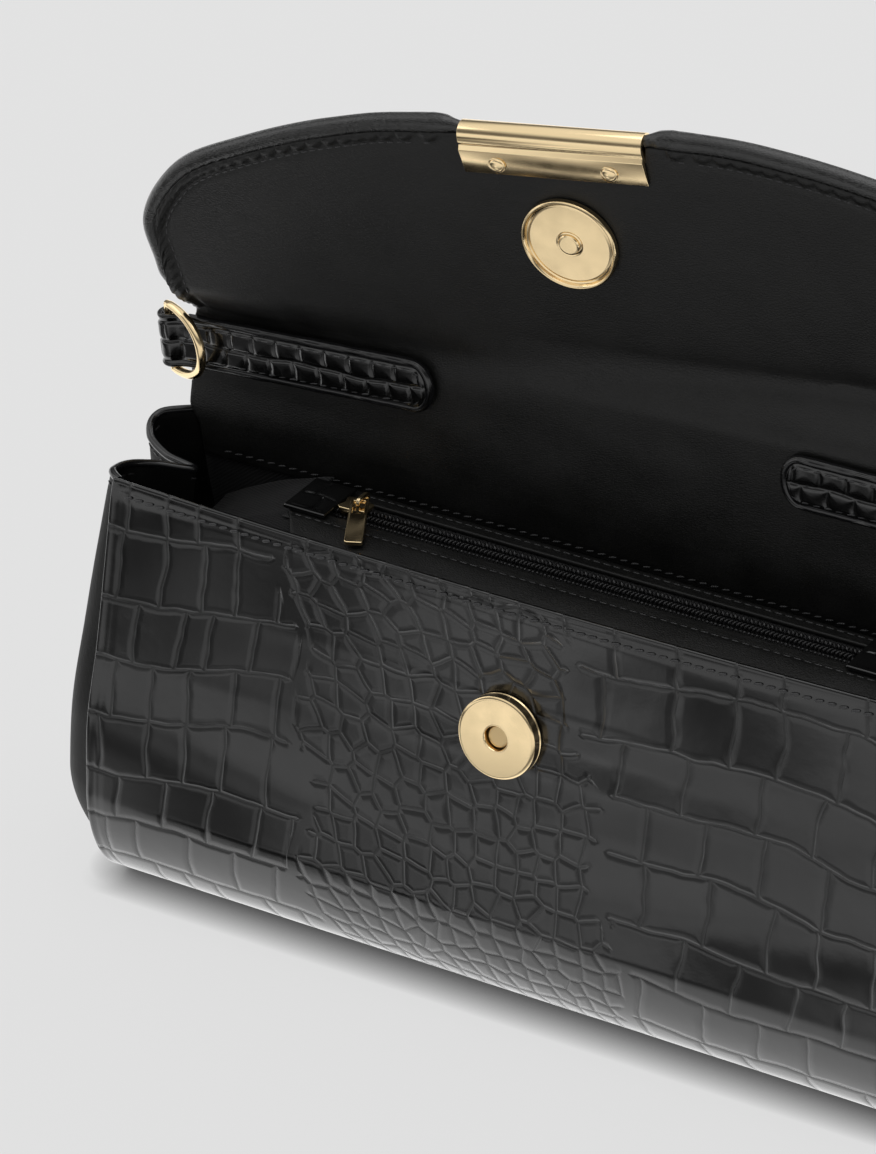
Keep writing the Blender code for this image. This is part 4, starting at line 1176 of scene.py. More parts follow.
def wrinkles(u: Array, v: Array, size: float, seed: float) -> Array:
    """Soft crossing waves, about -1 to 1, with a given size in metres."""
    a, b = u / size, v / size
    return (
        0.45 * np.sin(1.9 * a + 0.8 * np.sin(1.3 * b + seed) + seed)
        + 0.35 * np.sin(2.3 * b - 0.7 * a + 1.7 * seed)
        + 0.20 * np.sin(3.7 * a + 2.9 * b + 0.4 * seed)
    )


def flat_size(surface: Surface) -> tuple[float, float]:
    """The mean length of a surface's rows and of its columns: the size that it was cut to."""
    steps = np.linspace(0, 1, 41)
    across, down = np.meshgrid(steps, steps)
    points = surface(across.ravel(), down.ravel()).reshape(41, 41, 3)
    rows = np.linalg.norm(np.diff(points, axis=1), axis=2).sum(axis=1).mean()
    columns = np.linalg.norm(np.diff(points, axis=0), axis=2).sum(axis=0).mean()
    return float(rows), float(columns)


@dataclass
class Body:
    """The bag's body: the embossed shell, bellows ends and twill lining."""

    columns: int = 300
    hem_height: float = 0.0995
    lining_top: float = 0.1085
    lining_inset: float = 0.0039
    lining_side: float = 0.0034
    lining_back_side: float = 0.0014
    facing_inset: float = 0.0052
    gusset_sheet: float = 0.0012
    rim_front: float = 0.1100
    rim_back: float = 0.1115
    gusset_foot: float = 0.0036
    top_roll: float = 0.0005
    top_roll_reach: float = 0.006
    corner_under: float = 0.0145
    corner_inset: float = 0.0046
    corner_front_inset: float = 0.0041
    corner_back_inset: float = 0.0062
    corner_dip: float = 0.0058
    corner_sag: float = 0.0030
    corner_length: float = 0.047
    binding_radius: float = 0.00105
    binding_level: float = 0.004
    fold_seam_level: float = 0.030
    top_seam_end: float = 0.0035
    top_seam_drop: float = 0.0033
    # From front to back: the share, how far out at the rim, the belly and the foot, and the rim's drop
    lobes: tuple[tuple[float, ...], ...] = (
        (0.00, 0.0000, 0.0000, 0.0000, 0.0000),
        (0.05, 0.0032, 0.0080, 0.0018, 0.0001),
        (0.11, 0.0052, 0.0120, 0.0026, 0.0004),
        (0.29, 0.0052, 0.0112, 0.0024, 0.0022),
        (0.43, 0.0012, 0.0060, 0.0014, 0.0040),
        (0.55, -0.0068, -0.0010, 0.0008, 0.0056),
        (0.62, 0.0030, 0.0050, 0.0014, 0.0060),
        (0.72, 0.0105, 0.0102, 0.0018, 0.0042),
        (0.88, 0.0115, 0.0090, 0.0012, 0.0014),
        (1.00, 0.0030, 0.0010, 0.0000, 0.0000),
    )
    pattern: ScalePattern = field(
        default_factory=lambda: ScalePattern(
            (-4.0, 11.5, 30.0, 45.0, 59.0, 74.0, 87.0, 101.0, 116.0, 131.0)
        )
    )

    def build(self) -> None:
        """Builds the body's pieces."""
        self.front_shell()
        self.linings()
        self.gussets()
        self.corners()
        self.top_seam()

    def front_point(self, x: Array, run: Array) -> Array:
        """The front shell's outer face, run metres down from its top edge and on across the base."""
        lengths, heights, depths = wall_path(BODY_HEIGHT, 0.0)
        height = np.interp(run, lengths, heights)
        depth = np.interp(run, lengths, depths) + bow(x, height, -1)
        depth -= self.top_roll * np.clip(1 - run / self.top_roll_reach, 0.0, 1.0) ** 2
        y = np.where(run <= lengths[-1], -depth, -BASE_DEPTH + run - lengths[-1])
        return xyz(x, y, height)

    def front_shell(self) -> None:
        """The front panel and the base, in one sheet."""
        total = wall_path(BODY_HEIGHT, 0.0)[0][-1] + 2 * BASE_DEPTH

        def surface(across: Array, down: Array) -> Array:
            return self.front_point((across - 0.5) * 2 * HALF_WIDTH, down * total)

        def relief(u: Array, v: Array, across: Array, down: Array) -> Pair:
            side = HALF_WIDTH - np.abs(u)
            edge = np.minimum(side, v)
            on_fold = smooth_step(edge / MM, 2.0, 9.0)
            on_base = smooth_step(v / MM, 104.0, 118.0)
            height = 0.12 * wrinkles(u, v, 0.016, 1.4) * on_fold * MM * (1 - on_base)
            return height + edge_fold(edge) * (1 - on_base), np.zeros_like(u)

        length = laid(2 * HALF_WIDTH, total)
        rows = int(self.columns * total / (2 * HALF_WIDTH))
        counts = (self.columns, rows)
        skin = Skin("front_shell", surface, length, *counts, relief=relief, flip=-1, scales=self.pattern)
        finish(skin.build(), SCALES, "bag_body", "croc_leather", "front_panel")

    def linings(self) -> None:
        """The twill lining: one sheet down the front and over the base, and one down the back."""
        half = HALF_WIDTH - self.lining_side
        half_back = HALF_WIDTH + self.lining_back_side
        lengths, heights, depths = wall_path(self.lining_top, self.lining_inset)
        wall = lengths[-1]
        base = 2 * BASE_DEPTH

        def front(across: Array, down: Array) -> Array:
            x = (across - 0.5) * 2 * half
            run = down * (wall + base)
            height = np.interp(run, lengths, heights)
            depth = np.interp(run, lengths, depths) + bow(x, height, -1)
            y = np.where(run <= wall, -depth, -BASE_DEPTH + run - wall)
            return xyz(x, y, height)

        def back(across: Array, down: Array) -> Array:
            x = (across - 0.5) * 2 * half_back
            run = down * (wall - MM)
            height = np.interp(run, lengths, heights)
            depth = np.interp(run, lengths, depths) + bow(x, height, 1)
            return xyz(x, depth, height)

        def slack(u: Array, v: Array, across: Array, down: Array) -> Pair:
            deep = smooth_step(v, 0.004, 0.030) * smooth_step(1 - np.abs(across * 2 - 1), 0.02, 0.2)
            return 0.0005 * (wrinkles(u, v, 0.014, 2.0) + 1.0) * deep, np.zeros_like(u)

        sides = (("front", front, half, wall + base, 1), ("back", back, half_back, wall, -1))
        for name, surface, wide, total, flip in sides:
            length = laid(2 * wide, total)
            skin = Skin(f"twill_{name}", surface, length, 110, 70, LINING_SHEET, slack, flip=flip)
            piece = finish(skin.build(), TWILL, "bag_body", "twill", f"lining_{name}")

    def corners(self) -> None:
        """The twill that closes the mouth between each end of the zip and the bellows."""
        self.corner("left", -1, -ZIP_LEFT - 2 * CLEAR, 0.0150, self.corner_under)
        self.corner("right", 1, ZIP_RIGHT - 2 * CLEAR, 0.0060, 0.0)

    def corner(self, name: str, side: int, start: float, drop: float, tuck: float) -> None:
        """One corner.

        Args:
            name: Its end's name.
            side: -1 on the left, 1 on the right.
            start: How far out the zip ends.
            drop: How far it falls towards the bellows.
            tuck: How far its front half runs on under the zip's front facing.
        """
        reach = HALF_WIDTH - self.corner_inset - start

        def surface(across: Array, down: Array) -> Array:
            front = np.clip(1 - down / 0.5, 0.0, 1.0) if tuck else np.zeros_like(down)
            under = tuck * front
            x = side * (start - under + (reach + under) * across)
            height = ZIP_HEIGHT - 0.0002 - drop * across**1.3
            height = height - self.corner_dip * front**1.5 * (1 - across)
            low = -half_depth(height, self.corner_front_inset) - bow(x, height, -1)
            high = half_depth(height, self.corner_back_inset) + bow(x, height, 1)
            y = low + (high - low) * down
            sag = self.corner_sag * np.sin(math.pi * down) * across * (1 - 0.5 * across)
            return xyz(x, y, height - sag)

        def length(across: Array, down: Array) -> Pair:
            return across * reach, (1 - down) * self.corner_length

        def slack(u: Array, v: Array, across: Array, down: Array) -> Pair:
            return 0.0004 * wrinkles(u, v, 0.008, 3.0), np.zeros_like(u)

        label = f"twill_corner_{name}"
        skin = Skin(label, surface, length, 60, 60, 0.0006, slack, flip=side, inner=(16, 16))
        piece = finish(skin.build(), TWILL, "bag_body", "twill")
        flat_size(surface)

    def gusset_point(self, side: int, share: Array, down: Array, inset: float = 0.0) -> Array:
        """The bellows' outer face: share runs from front to back, down from the rim to the foot."""
        table = np.array(self.lobes)
        out = [eased(table[:, 0], table[:, k], share) for k in (1, 2, 3, 4)]
        rim = self.rim_front + (self.rim_back - self.rim_front) * share - out[3]
        height = rim + (self.gusset_foot - rim) * down
        rise = np.clip((height - BELLY_HEIGHT) / (rim - BELLY_HEIGHT), 0, 1)
        sink = np.clip((BELLY_HEIGHT - height) / (BELLY_HEIGHT - self.gusset_foot), 0, 1)
        above = out[1] + (out[0] - out[1]) * rise**1.6
        below = out[1] + (out[2] - out[1]) * sink**2
        lobe = np.where(height > BELLY_HEIGHT, above, below)
        layers = LEATHER + CLEAR + self.gusset_sheet
        depth = half_depth(height, layers)
        x = HALF_WIDTH - 0.0010 + lobe + self.gusset_sheet / 2 - inset
        return xyz(side * x, (2 * share - 1) * depth, height)

    def gussets(self) -> None:
        """The bellows at each end, with their bound rims and seams."""
        for name, side in SIDES:
            self.gusset(name, side)

    def gusset(self, name: str, side: int) -> None:
        """The bellows at one end."""

        def surface(across: Array, down: Array) -> Array:
            return self.gusset_point(side, across, down)

        def folds(u: Array, v: Array, across: Array, down: Array) -> Pair:
            seam = -0.25 * np.exp(-(((v / MM - 3.0) / 0.5) ** 2))
            soft = 0.12 * wrinkles(u, v, 0.013, 1.0) * smooth_step(v, 0.004, 0.02)
            return (seam + soft) * MM, np.zeros_like(u)

        length = laid(0.072, 0.107, 0.0)
        sheet = self.gusset_sheet
        label = f"bellows_{name}"
        skin = Skin(label, surface, length, 120, 90, sheet, folds, flip=-side, inner=(60, 24))
        # The bellows take the painted shade copy of the nappa
        finish(skin.build(), NAPPA_SHADED, "bag_body", "smooth_leather", f"gusset_{name}")
        share = np.linspace(0.012, 0.988, 140)
        rim = self.gusset_point(side, share, np.full_like(share, self.binding_level), sheet / 2)
        binding = wire(f"bellows_rim_{name}", rim, self.binding_radius)
        finish(binding, EDGE, "bag_body", "smooth_leather")
        for label, inset, face in (("outer", -0.00002, 1), ("inner", sheet + 0.0001, -1)):
            row = self.gusset_point(side, share, np.full_like(share, self.fold_seam_level), inset)
            normal = np.cross(np.gradient(row, axis=0), UPWARDS)
            normal *= np.sign((normal[:, :1] * side).sum()) * face
            thread = Stitching(slant=0.0, radius=0.00026)
            thread.seam(f"bellows_seam_{label}_{name}", row, normal, "bag_body", "smooth_leather")

    def top_seam(self) -> None:
        """The stitches along the front's top edge."""
        end = HALF_WIDTH - self.top_seam_end
        x = np.linspace(-end, end, 300)
        path = self.front_point(x, np.full_like(x, self.top_seam_drop))
        normal = np.array((0.0, -0.98, 0.2))
        thread = Stitching(radius=0.00046, half=0.0012, sink=-0.00010)
        thread.seam("front_top_seam", path, normal, "bag_body", "croc_leather")


@dataclass
class FlapSkins:
    """The leather that runs from the body over both folds to the flap's tip, outside and inside."""

    columns: int = 300
    bend_start: float = 0.0045
    bend_reach: float = 0.0025
    roll_cover: float = 0.0044
    wall_top: float = 0.1115
    turn_length: float = 0.0108
    hem_seam_end: float = 0.005
    hem_seam_rise: float = 0.0024
    pattern: ScalePattern = field(
        default_factory=lambda: ScalePattern(
            tuple(-168.0 + 14.5 * k for k in range(23)),
            middle=(0.0, 0.0),
            middle_half=(38.0, 38.0),
            cell_sizes=(6.6, 6.6),
            seed=8.0,
        )
    )

    def build(self, body: Body) -> None:
        """Builds the sheets on both sides."""
        self.back_shell()
        self.flap_shell()
        self.facing(body)
        self.flap_lining()
        self.hem_seam(body)
        self.flap_seam()

    def head(self, x: Array) -> Array:
        """Where the spine ends along the flap."""
        return SPINE_TOP + x * SPINE_SLANT

    def foot(self, x: Array) -> Array:
        """Where the flap's stiff front begins."""
        return -x * CREASE_SLANT

    def spine_point(self, x: Array, along: Array, level: float) -> Array:
        """A point of the spine's plane."""
        return placed(SPINE, xyz(x, along, level))

    def flap_point(self, x: Array, along: Array, level: float) -> Array:
        """A point of the flap's plane."""
        return placed(FLAP, xyz(x, along, level))

    def upper(self, x: Array, run: Array, tip: Array, level: float) -> Array:
        """The sheet from the middle of the spine, over the crease, to a tip."""
        reach = self.bend_reach
        first = self.head(x) - reach - SPINE_MEET
        p0 = self.spine_point(x, self.head(x) - reach, level)
        p1 = self.flap_point(x, self.foot(x) + reach, level)
        middle = np.linalg.norm(p1 - p0, axis=1)
        last = tip - self.foot(x) - reach
        at = run * (first + middle + last)
        on_spine = self.spine_point(x, SPINE_MEET + np.minimum(at, first), level)
        share = np.clip((at - first) / middle, 0.0, 1.0)
        bent = bend(p0, SPINE[:3, 1], p1, FLAP[:3, 1], share)
        on_flap = self.flap_point(x, self.foot(x) + reach + np.maximum(at - first - middle, 0), level)
        result = np.where((at <= first)[:, None], on_spine, bent)
        return np.where((at >= first + middle)[:, None], on_flap, result)

    def upper_sheet(self, level: float, inset: float) -> tuple[Surface, Length]:
        """The surface and the lengths of the upper sheet at one level, ended inside the outline."""
        edge = flap_edge(inset)
        widest = int(edge[:, 0].argmax())
        tip_x, tip_v = edge[widest:, 0][::-1], edge[widest:, 1][::-1]
        most = edge[widest, 0]
        bar = BAR_HALF_LENGTH + 0.0004
        low = BAR_TOP - 0.0069

        def tip_at(x: Array) -> Array:
            outline = np.interp(np.abs(x), tip_x, tip_v)
            return np.where(np.abs(x) < bar, low, outline)

        def place(across: Array, down: Array) -> Pair:
            x = (across - 0.5) * 2 * most
            spine = (SPINE_HALF_WIDTH - 0.0006) / most
            narrow = 1.0 + (spine - 1.0) * (1 - smooth_step(down, 0.04, 0.22))
            dip = 1.0 - 0.010 * np.exp(-(((down - 0.30) / 0.10) ** 2))
            return x, x * narrow * dip

        def surface(across: Array, down: Array) -> Array:
            x, wide = place(across, down)
            return self.upper(wide, down, tip_at(x), level)

        def length(across: Array, down: Array) -> Pair:
            x, wide = place(across, down)
            total = self.head(x) - SPINE_MEET + 0.009 + tip_at(x)
            return wide, -down * total

        return surface, length

    def crease(self) -> Pair:
        """Where the flap's crease starts and ends."""
        centre, aside = np.zeros(1), np.array([0.1])
        start = self.spine_point(centre, centre + (SPINE_TOP - MM), 0.0)[0]
        end = self.flap_point(centre, centre + MM, 0.0)[0]
        axis = self.flap_point(aside, self.foot(aside), 0.0)[0] - end
        axis += self.spine_point(aside, self.head(aside), 0.0)[0] - start
        axis /= np.linalg.norm(axis)
        across = end - start
        across = across - axis * (across @ axis)
        return start, start + across

    def flap_shell(self) -> None:
        """The embossed leather over the flap's outside."""
        surface, length = self.upper_sheet(OUTER_FACE, self.roll_cover)

        def relief(u: Array, v: Array, across: Array, down: Array) -> Pair:
            edge = np.minimum(1 - np.abs(across * 2 - 1), (1 - down) * 0.8) * 0.11
            on = smooth_step(edge / MM, 0.4, 4.0)
            return 0.10 * wrinkles(u, v, 0.018, 2.2) * on * MM - 0.0002 * (1 - on), np.zeros_like(u)

        counts = (self.columns, 120)
        skin = Skin("flap_shell", surface, length, *counts, LEATHER, relief, MEETS, -1, scales=self.pattern)
        nodes = ("spine_outer", "crease_outer", "flap_outer")
        piece = finish(skin.build(), SCALES, "", "croc_leather", *nodes)
        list(self.crease())
        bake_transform(piece)

    def flap_lining(self) -> None:
        """The smooth leather over the flap's inside, with the thin fold beside the edge roll."""
        surface, length = self.upper_sheet(LINING_FACE, self.roll_cover - 0.0004)
        edge = flap_edge(self.roll_cover - 0.0004, 6)
        outline = np.concatenate((edge, edge * (-1, 1)))

        def relief(u: Array, v: Array, across: Array, down: Array) -> Pair:
            points = surface(across, down)
            flat = (points - FLAP[:3, 3]) @ FLAP[:3, :3]
            away = np.full(len(u), 1.0)
            for spot in outline:
                np.minimum(away, np.hypot(flat[:, 0] - spot[0], flat[:, 1] - spot[1]), out=away)
            mm = away / MM
            on_flap = smooth_step(flat[:, 1] / MM, -6.0, 4.0)
            fold = 0.85 * np.exp(-(((mm - 1.1) / 0.85) ** 2))
            fold -= 0.30 * np.exp(-(((mm - 3.0) / 0.6) ** 2))
            crease = -0.9 * np.exp(-(((flat[:, 1] / MM + 5.0) / 5.0) ** 2))
            soft = 0.22 * wrinkles(u, v, 0.021, 4.0) * smooth_step(mm, 3.0, 14.0)
            return (fold * on_flap + crease + soft * smooth_step(down, 0.0, 0.1)) * MM, np.zeros_like(u)

        skin = Skin("flap_lining_leather", surface, length, 260, 110, MM, relief, MEETS)
        nodes = ("spine_lining", "crease_lining", "flap_lining")
        piece = finish(skin.build(), NAPPA, "", "smooth_leather", *nodes)
        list(self.crease())
        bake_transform(piece)

    def lower(self, x: Array, run: Array, inset: float, level: float) -> Array:
        """The sheet from the middle of the spine down over the hinge to the back wall.

        Args:
            x: Places across.
            run: Lengths down from the middle of the spine.
            inset: How far the sheet lies inside the body's outer face.
            level: Its level on the spine.

        Returns:
            The points.
        """
        lengths, heights, depths = wall_path(self.wall_top, inset)
        first = SPINE_MEET - self.bend_start
        p0 = self.spine_point(x, np.full_like(x, self.bend_start), level)
        top = np.full_like(x, self.wall_top)
        side = xyz(x, depths[0] + bow(x, top, 1), top)
        middle = float(np.linalg.norm(side - p0, axis=1).mean())
        way_down = np.array((0.0, depths[3] - depths[0], heights[3] - heights[0]))
        way_down /= np.linalg.norm(way_down)
        on_spine = self.spine_point(x, SPINE_MEET - np.minimum(run, first), level)
        share = np.clip((run - first) / middle, 0.0, 1.0)
        bent = bend(p0, -SPINE[:3, 1], side, way_down, share)
        at = np.maximum(run - first - middle, 0.0)
        height = np.maximum(np.interp(at, lengths, heights), 0.0)
        depth = np.interp(at, lengths, depths) + bow(x, height, 1)
        on_wall = xyz(x, depth, height)
        result = np.where((run <= first)[:, None], on_spine, bent)
        return np.where((run >= first + middle)[:, None], on_wall, result)

    def back_shell(self) -> None:
        """The embossed back, which runs on over the hinge to the middle of the spine."""
        wall = wall_path(self.wall_top, 0.0)[0][-1]
        total = SPINE_MEET - self.bend_start + self.turn_length + wall - 0.0008

        def spot(across: Array, down: Array) -> Array:
            half = SPINE_HALF_WIDTH + (HALF_WIDTH - SPINE_HALF_WIDTH) * smooth_step(down, 0.15, 0.95)
            return (across - 0.5) * 2 * half

        def surface(across: Array, down: Array) -> Array:
            return self.lower(spot(across, down), down * total, 0.0, OUTER_FACE)

        def length(across: Array, down: Array) -> Pair:
            return spot(across, down), down * total

        def relief(u: Array, v: Array, across: Array, down: Array) -> Pair:
            side = (1 - np.abs(across * 2 - 1)) * HALF_WIDTH
            on = smooth_step(np.minimum(side, total - v) / MM, 2.0, 9.0)
            on_wall = smooth_step(v / MM, 22.0, 30.0)
            soft = 0.10 * wrinkles(u, v, 0.018, 2.2) * on * MM
            return soft + edge_fold(side) * on_wall, np.zeros_like(u)

        counts = (self.columns, 180)
        skin = Skin("back_shell", surface, length, *counts, LEATHER, relief, MEETS, scales=self.pattern)
        piece = finish(skin.build(), SCALES, "", "croc_leather", "back_panel", "spine_fold")
        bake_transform(piece)

    def facing_run(self, body: Body) -> float:
        """How far the facing's hem lies down its sheet."""
        return SPINE_MEET - self.bend_start + self.turn_length + (self.wall_top - body.hem_height) * 1.03

    def facing(self, body: Body) -> None:
        """The lining leather from its hem on the back wall, over the hinge, to the middle of the spine."""
        total = self.facing_run(body)
        half = SPINE_HALF_WIDTH - 0.0002
        inside = HALF_WIDTH + 0.0004

        def spot(across: Array, down: Array) -> Array:
            return (across - 0.5) * 2 * (half + (inside - half) * smooth_step(down, 0.52, 0.72))

        def surface(across: Array, down: Array) -> Array:
            return self.lower(spot(across, down), down * total, body.facing_inset, LINING_FACE)

        def length(across: Array, down: Array) -> Pair:
            return spot(across, down), down * total

        def relief(u: Array, v: Array, across: Array, down: Array) -> Pair:
            seam = -0.16 * np.exp(-((((total - v) / MM - 2.4) / 0.6) ** 2))
            slack = smooth_step(down, 0.02, 0.3) * (1 - smooth_step(down, 0.7, 0.9))
            soft = 0.25 * wrinkles(u, v, 0.019, 4.0) * slack
            return (seam + soft) * MM, np.zeros_like(u)

        skin = Skin("facing_leather", surface, length, 200, 40, MM, relief, MEETS, -1, (40, 8))
        piece = finish(skin.build(), NAPPA, "", "smooth_leather", "back_facing")
        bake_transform(piece)

    def hem_seam(self, body: Body) -> None:
        """The stitches above the facing's hem."""
        end = HALF_WIDTH - self.hem_seam_end
        x = np.linspace(-end, end, 300)
        run = np.full_like(x, self.facing_run(body) - self.hem_seam_rise)
        path = self.lower(x, run, body.facing_inset, LINING_FACE)
        normal = np.array((0.0, -0.99, 0.14))
        Stitching(sink=0.00006).seam("facing_hem_seam", path, normal, "bag_body", "smooth_leather")

    def flap_seam(self) -> None:
        """The stitches inside the flap's edge roll."""
        edge = flap_edge(self.roll_cover + 0.0026, 10)
        edge = edge[edge[:, 0] > BAR_HALF_LENGTH + 0.002]
        for name, side in SIDES:
            x = edge[:, 0] * side
            along = np.maximum(edge[:, 1], self.foot(x) * (edge[:, 1] < 0.02))
            path = self.flap_point(x, along, LINING_FACE - 0.00022)
            thread = Stitching(pitch=0.0024, half=0.0009, radius=0.00026, slant=0.0)
            thread.seam(f"flap_seam_{name}", path, FLAP[:3, 2], "flap_front", "smooth_leather")


@dataclass
class FlapEdge:
    """What edges the flap: the padded roll, the bar at its tip and its rivets, and the snap's dish."""

    dish_along: float = 0.0318
    rivet_along: float = 0.0527
    rivet_offset: float = 0.0145
    slant_reach: float = 0.012
    bar_foot: float = 0.0497

    def build(self) -> None:
        """Builds the flap's edge and its snap."""
        self.rolls()
        self.bar()
        self.rivets()
        self.dish()

    def rolls(self) -> None:
        """The roll of soft leather round the flap's edge, pinched where the bar closes on it."""
        edge = flap_edge(ROLL_RADIUS, 16)
        last = edge[-1]
        to_bar = np.linspace(0, 1, 14)[1:, None]
        end = np.array((BAR_HALF_LENGTH + 0.0002, last[1] - 0.0006))
        edge = np.concatenate((edge, last + (end - last) * to_bar + to_bar * (1 - to_bar) * (0.0, 0.0016)))
        for name, side in SIDES:
            x = edge[:, 0] * side
            slanted = edge[:, 1] - x * CREASE_SLANT * (1 - edge[:, 1] / self.slant_reach)
            along = np.where(edge[:, 1] < self.slant_reach, slanted, edge[:, 1])
            to_bar = edge[:, 0] - BAR_HALF_LENGTH
            pinch = 1.0 - 0.36 * np.exp(-((to_bar / 0.0034) ** 2))
            pinch += 0.05 * np.exp(-(((to_bar - 0.008) / 0.004) ** 2))
            tail = 0.55 + 0.45 * smooth_step(along - along[0], -0.001, 0.006)
            points = placed(FLAP, xyz(x, along, 0.0))
            roll = wire(f"edge_roll_{name}", points, ROLL_RADIUS * 0.985, shares=pinch * tail)
            self._press(roll, side)
            finish(roll, NAPPA_PLACE, "flap_front", "smooth_leather", f"flap_roll_{name}")

    def _press(self, roll: Object, side: int) -> None:
        """Presses the roll a little unevenly, as a hand-turned edge is."""
        co = vertices_of(roll)
        flat = (co - FLAP[:3, 3]) @ FLAP[:3, :3]
        near = np.exp(-(((np.abs(flat[:, 0]) - BAR_HALF_LENGTH) / 0.008) ** 2))
        dent = 0.00008 * wrinkles(flat[:, 0], flat[:, 1], 0.010, 3.0 + side)
        dent -= 0.00022 * near * np.abs(np.sin(flat[:, 0] / 0.0011))
        co += FLAP[:3, 2] * (dent * np.sign(flat[:, 2]))[:, None]
        roll.data.vertices.foreach_set("co", co.ravel())
        roll.data.update()

    def bar(self) -> None:
        """The metal bar: a rounded bead over the tip, and a plate down each face."""
        radius = 0.0033
        low, high = OUTER_FACE - CLEAR, LINING_FACE + CLEAR
        wall, foot = BAR_SHEET, self.bar_foot
        centre = BAR_TOP - radius
        neck = centre - radius
        outline = []
        for step in range(29):
            angle = -0.42 + (math.pi + 0.84) * step / 28
            outline.append((radius * math.cos(angle), centre + radius * math.sin(angle)))
        outline += [(low - wall, neck + wall), (low - wall, foot), (low, foot), (low, neck)]
        outline += [(high, neck), (high, foot), (high + wall * 0.5, foot), (high + wall * 1.9, neck + wall)]
        outline = supported([*outline, outline[0]])[:-1]
        bar = plate("tip_bar", outline, -BAR_HALF_LENGTH, BAR_HALF_LENGTH, 0.00022)
        across = np.array(((0, 0, 1, 0), (0, 1, 0, 0), (1, 0, 0, 0), (0, 0, 0, 1)), float)
        settle(bar, FLAP @ across, 32)
        finish(bar, GOLD, "flap_front", "gold_metal", "edge_bar")

    def rivets(self) -> None:
        """The two domed rivets, each in a shallow ring."""
        face = LINING_FACE + CLEAR + BAR_SHEET + CLEAR
        radius, height = 0.00215, 0.0009
        for name, side in SIDES:
            profile = [(0.0, height + 0.0001)]
            for step in range(1, 9):
                angle = math.pi / 2 * step / 8
                level = 0.00035 + (height - 0.00025) * math.cos(angle)
                profile.append((radius * 0.86 * math.sin(angle), level))
            profile += [(radius * 0.93, 0.00032), (radius, 0.00022), (radius, -CLEAR), (0.0, -CLEAR)]
            place = np.array(Matrix.Translation((side * self.rivet_offset, self.rivet_along, face)))
            rivet = lathe(f"domed_rivet_{name}", profile, FLAP @ place, 48)
            finish(rivet, GOLD, "flap_front", "gold_metal", f"bar_rivet_{name}")

    def dish(self) -> None:
        """The snap's dish: a polished plate in a raised rim, with its nub and the ring round it."""
        place = FLAP @ np.array(Matrix.Translation((0.0, self.dish_along, LINING_FACE + CLEAR)))
        profile = [
            (0.0, 0.0006),
            (0.0028, 0.0006),
            (0.0031, 0.00042),
            (0.0034, 0.0006),
            (0.0102, 0.00062),
            (0.01065, 0.00045),
            (0.0110, 0.0006),
            (0.0113, 0.0013),
            (0.01155, 0.00155),
            (0.0118, 0.0016),
            (0.0121, 0.0014),
            (0.01225, 0.0011),
            (0.01225, 0.0),
            (0.0, 0.0),
        ]
        finish(lathe("snap_dish", profile, place), GOLD, "flap_front", "gold_metal", "stud_dish")
        nub = [(0.0, 0.0014), (0.0022, 0.0014), (0.0025, 0.00132)]
        nub += [(0.0027, 0.0011), (0.0027, 0.0004), (0.0, 0.0004)]
        finish(lathe("snap_nub", nub, place, 64), GOLD, "flap_front", "gold_metal", "stud_nub")


@dataclass
class Snap:
    """The snap's half on the front: a flat gold cup with a recessed core."""

    height: float = 0.0750
    radius: float = 0.0105
    seat: float = 0.0004
    thick: float = 0.0033

    def build(self) -> None:
        """Turns the cup and its core."""
        heights = np.array((self.height - self.radius, self.height + self.radius))
        depths = half_depth(heights) + bow(np.zeros(2), heights, -1)
        tilt = math.atan2(float(depths[0] - depths[1]), 2 * self.radius)
        origin = Matrix.Translation((0.0, -float(depths.mean()), self.height))
        place = np.array(origin @ Matrix.Rotation(math.pi / 2 - tilt, 4, "X"))
        top = self.seat + self.thick
        hole = 0.0031
        cup = [
            (hole, top - 0.0013),
            (hole, top - 0.00015),
            (hole + 0.00012, top + 0.00004),
            (hole + 0.00040, top),
            (self.radius - 0.0008, top),
            (self.radius - 0.00035, top - 0.0001),
            (self.radius - 0.00006, top - 0.00036),
            (self.radius, top - 0.0007),
            (self.radius, self.seat + 0.0007),
            (self.radius - 0.0002, self.seat + 0.0004),
            (self.radius, self.seat + 0.0001),
            (self.radius - 0.0004, self.seat - 0.0002),
            (hole, self.seat - 0.0002),
        ]
        finish(lathe("snap_disc", cup, place), GOLD, "bag_body", "gold_metal", "snap_cup")
        core = [(0.0, top - 0.0011), (0.0022, top - 0.0011), (0.0026, top - 0.0012)]
        core += [(0.0028, top - 0.0015), (0.0028, self.seat), (0.0, self.seat)]
        finish(lathe("snap_core_disc", core, place, 64), MATTE_GOLD, "bag_body", "gold_metal", "snap_core")


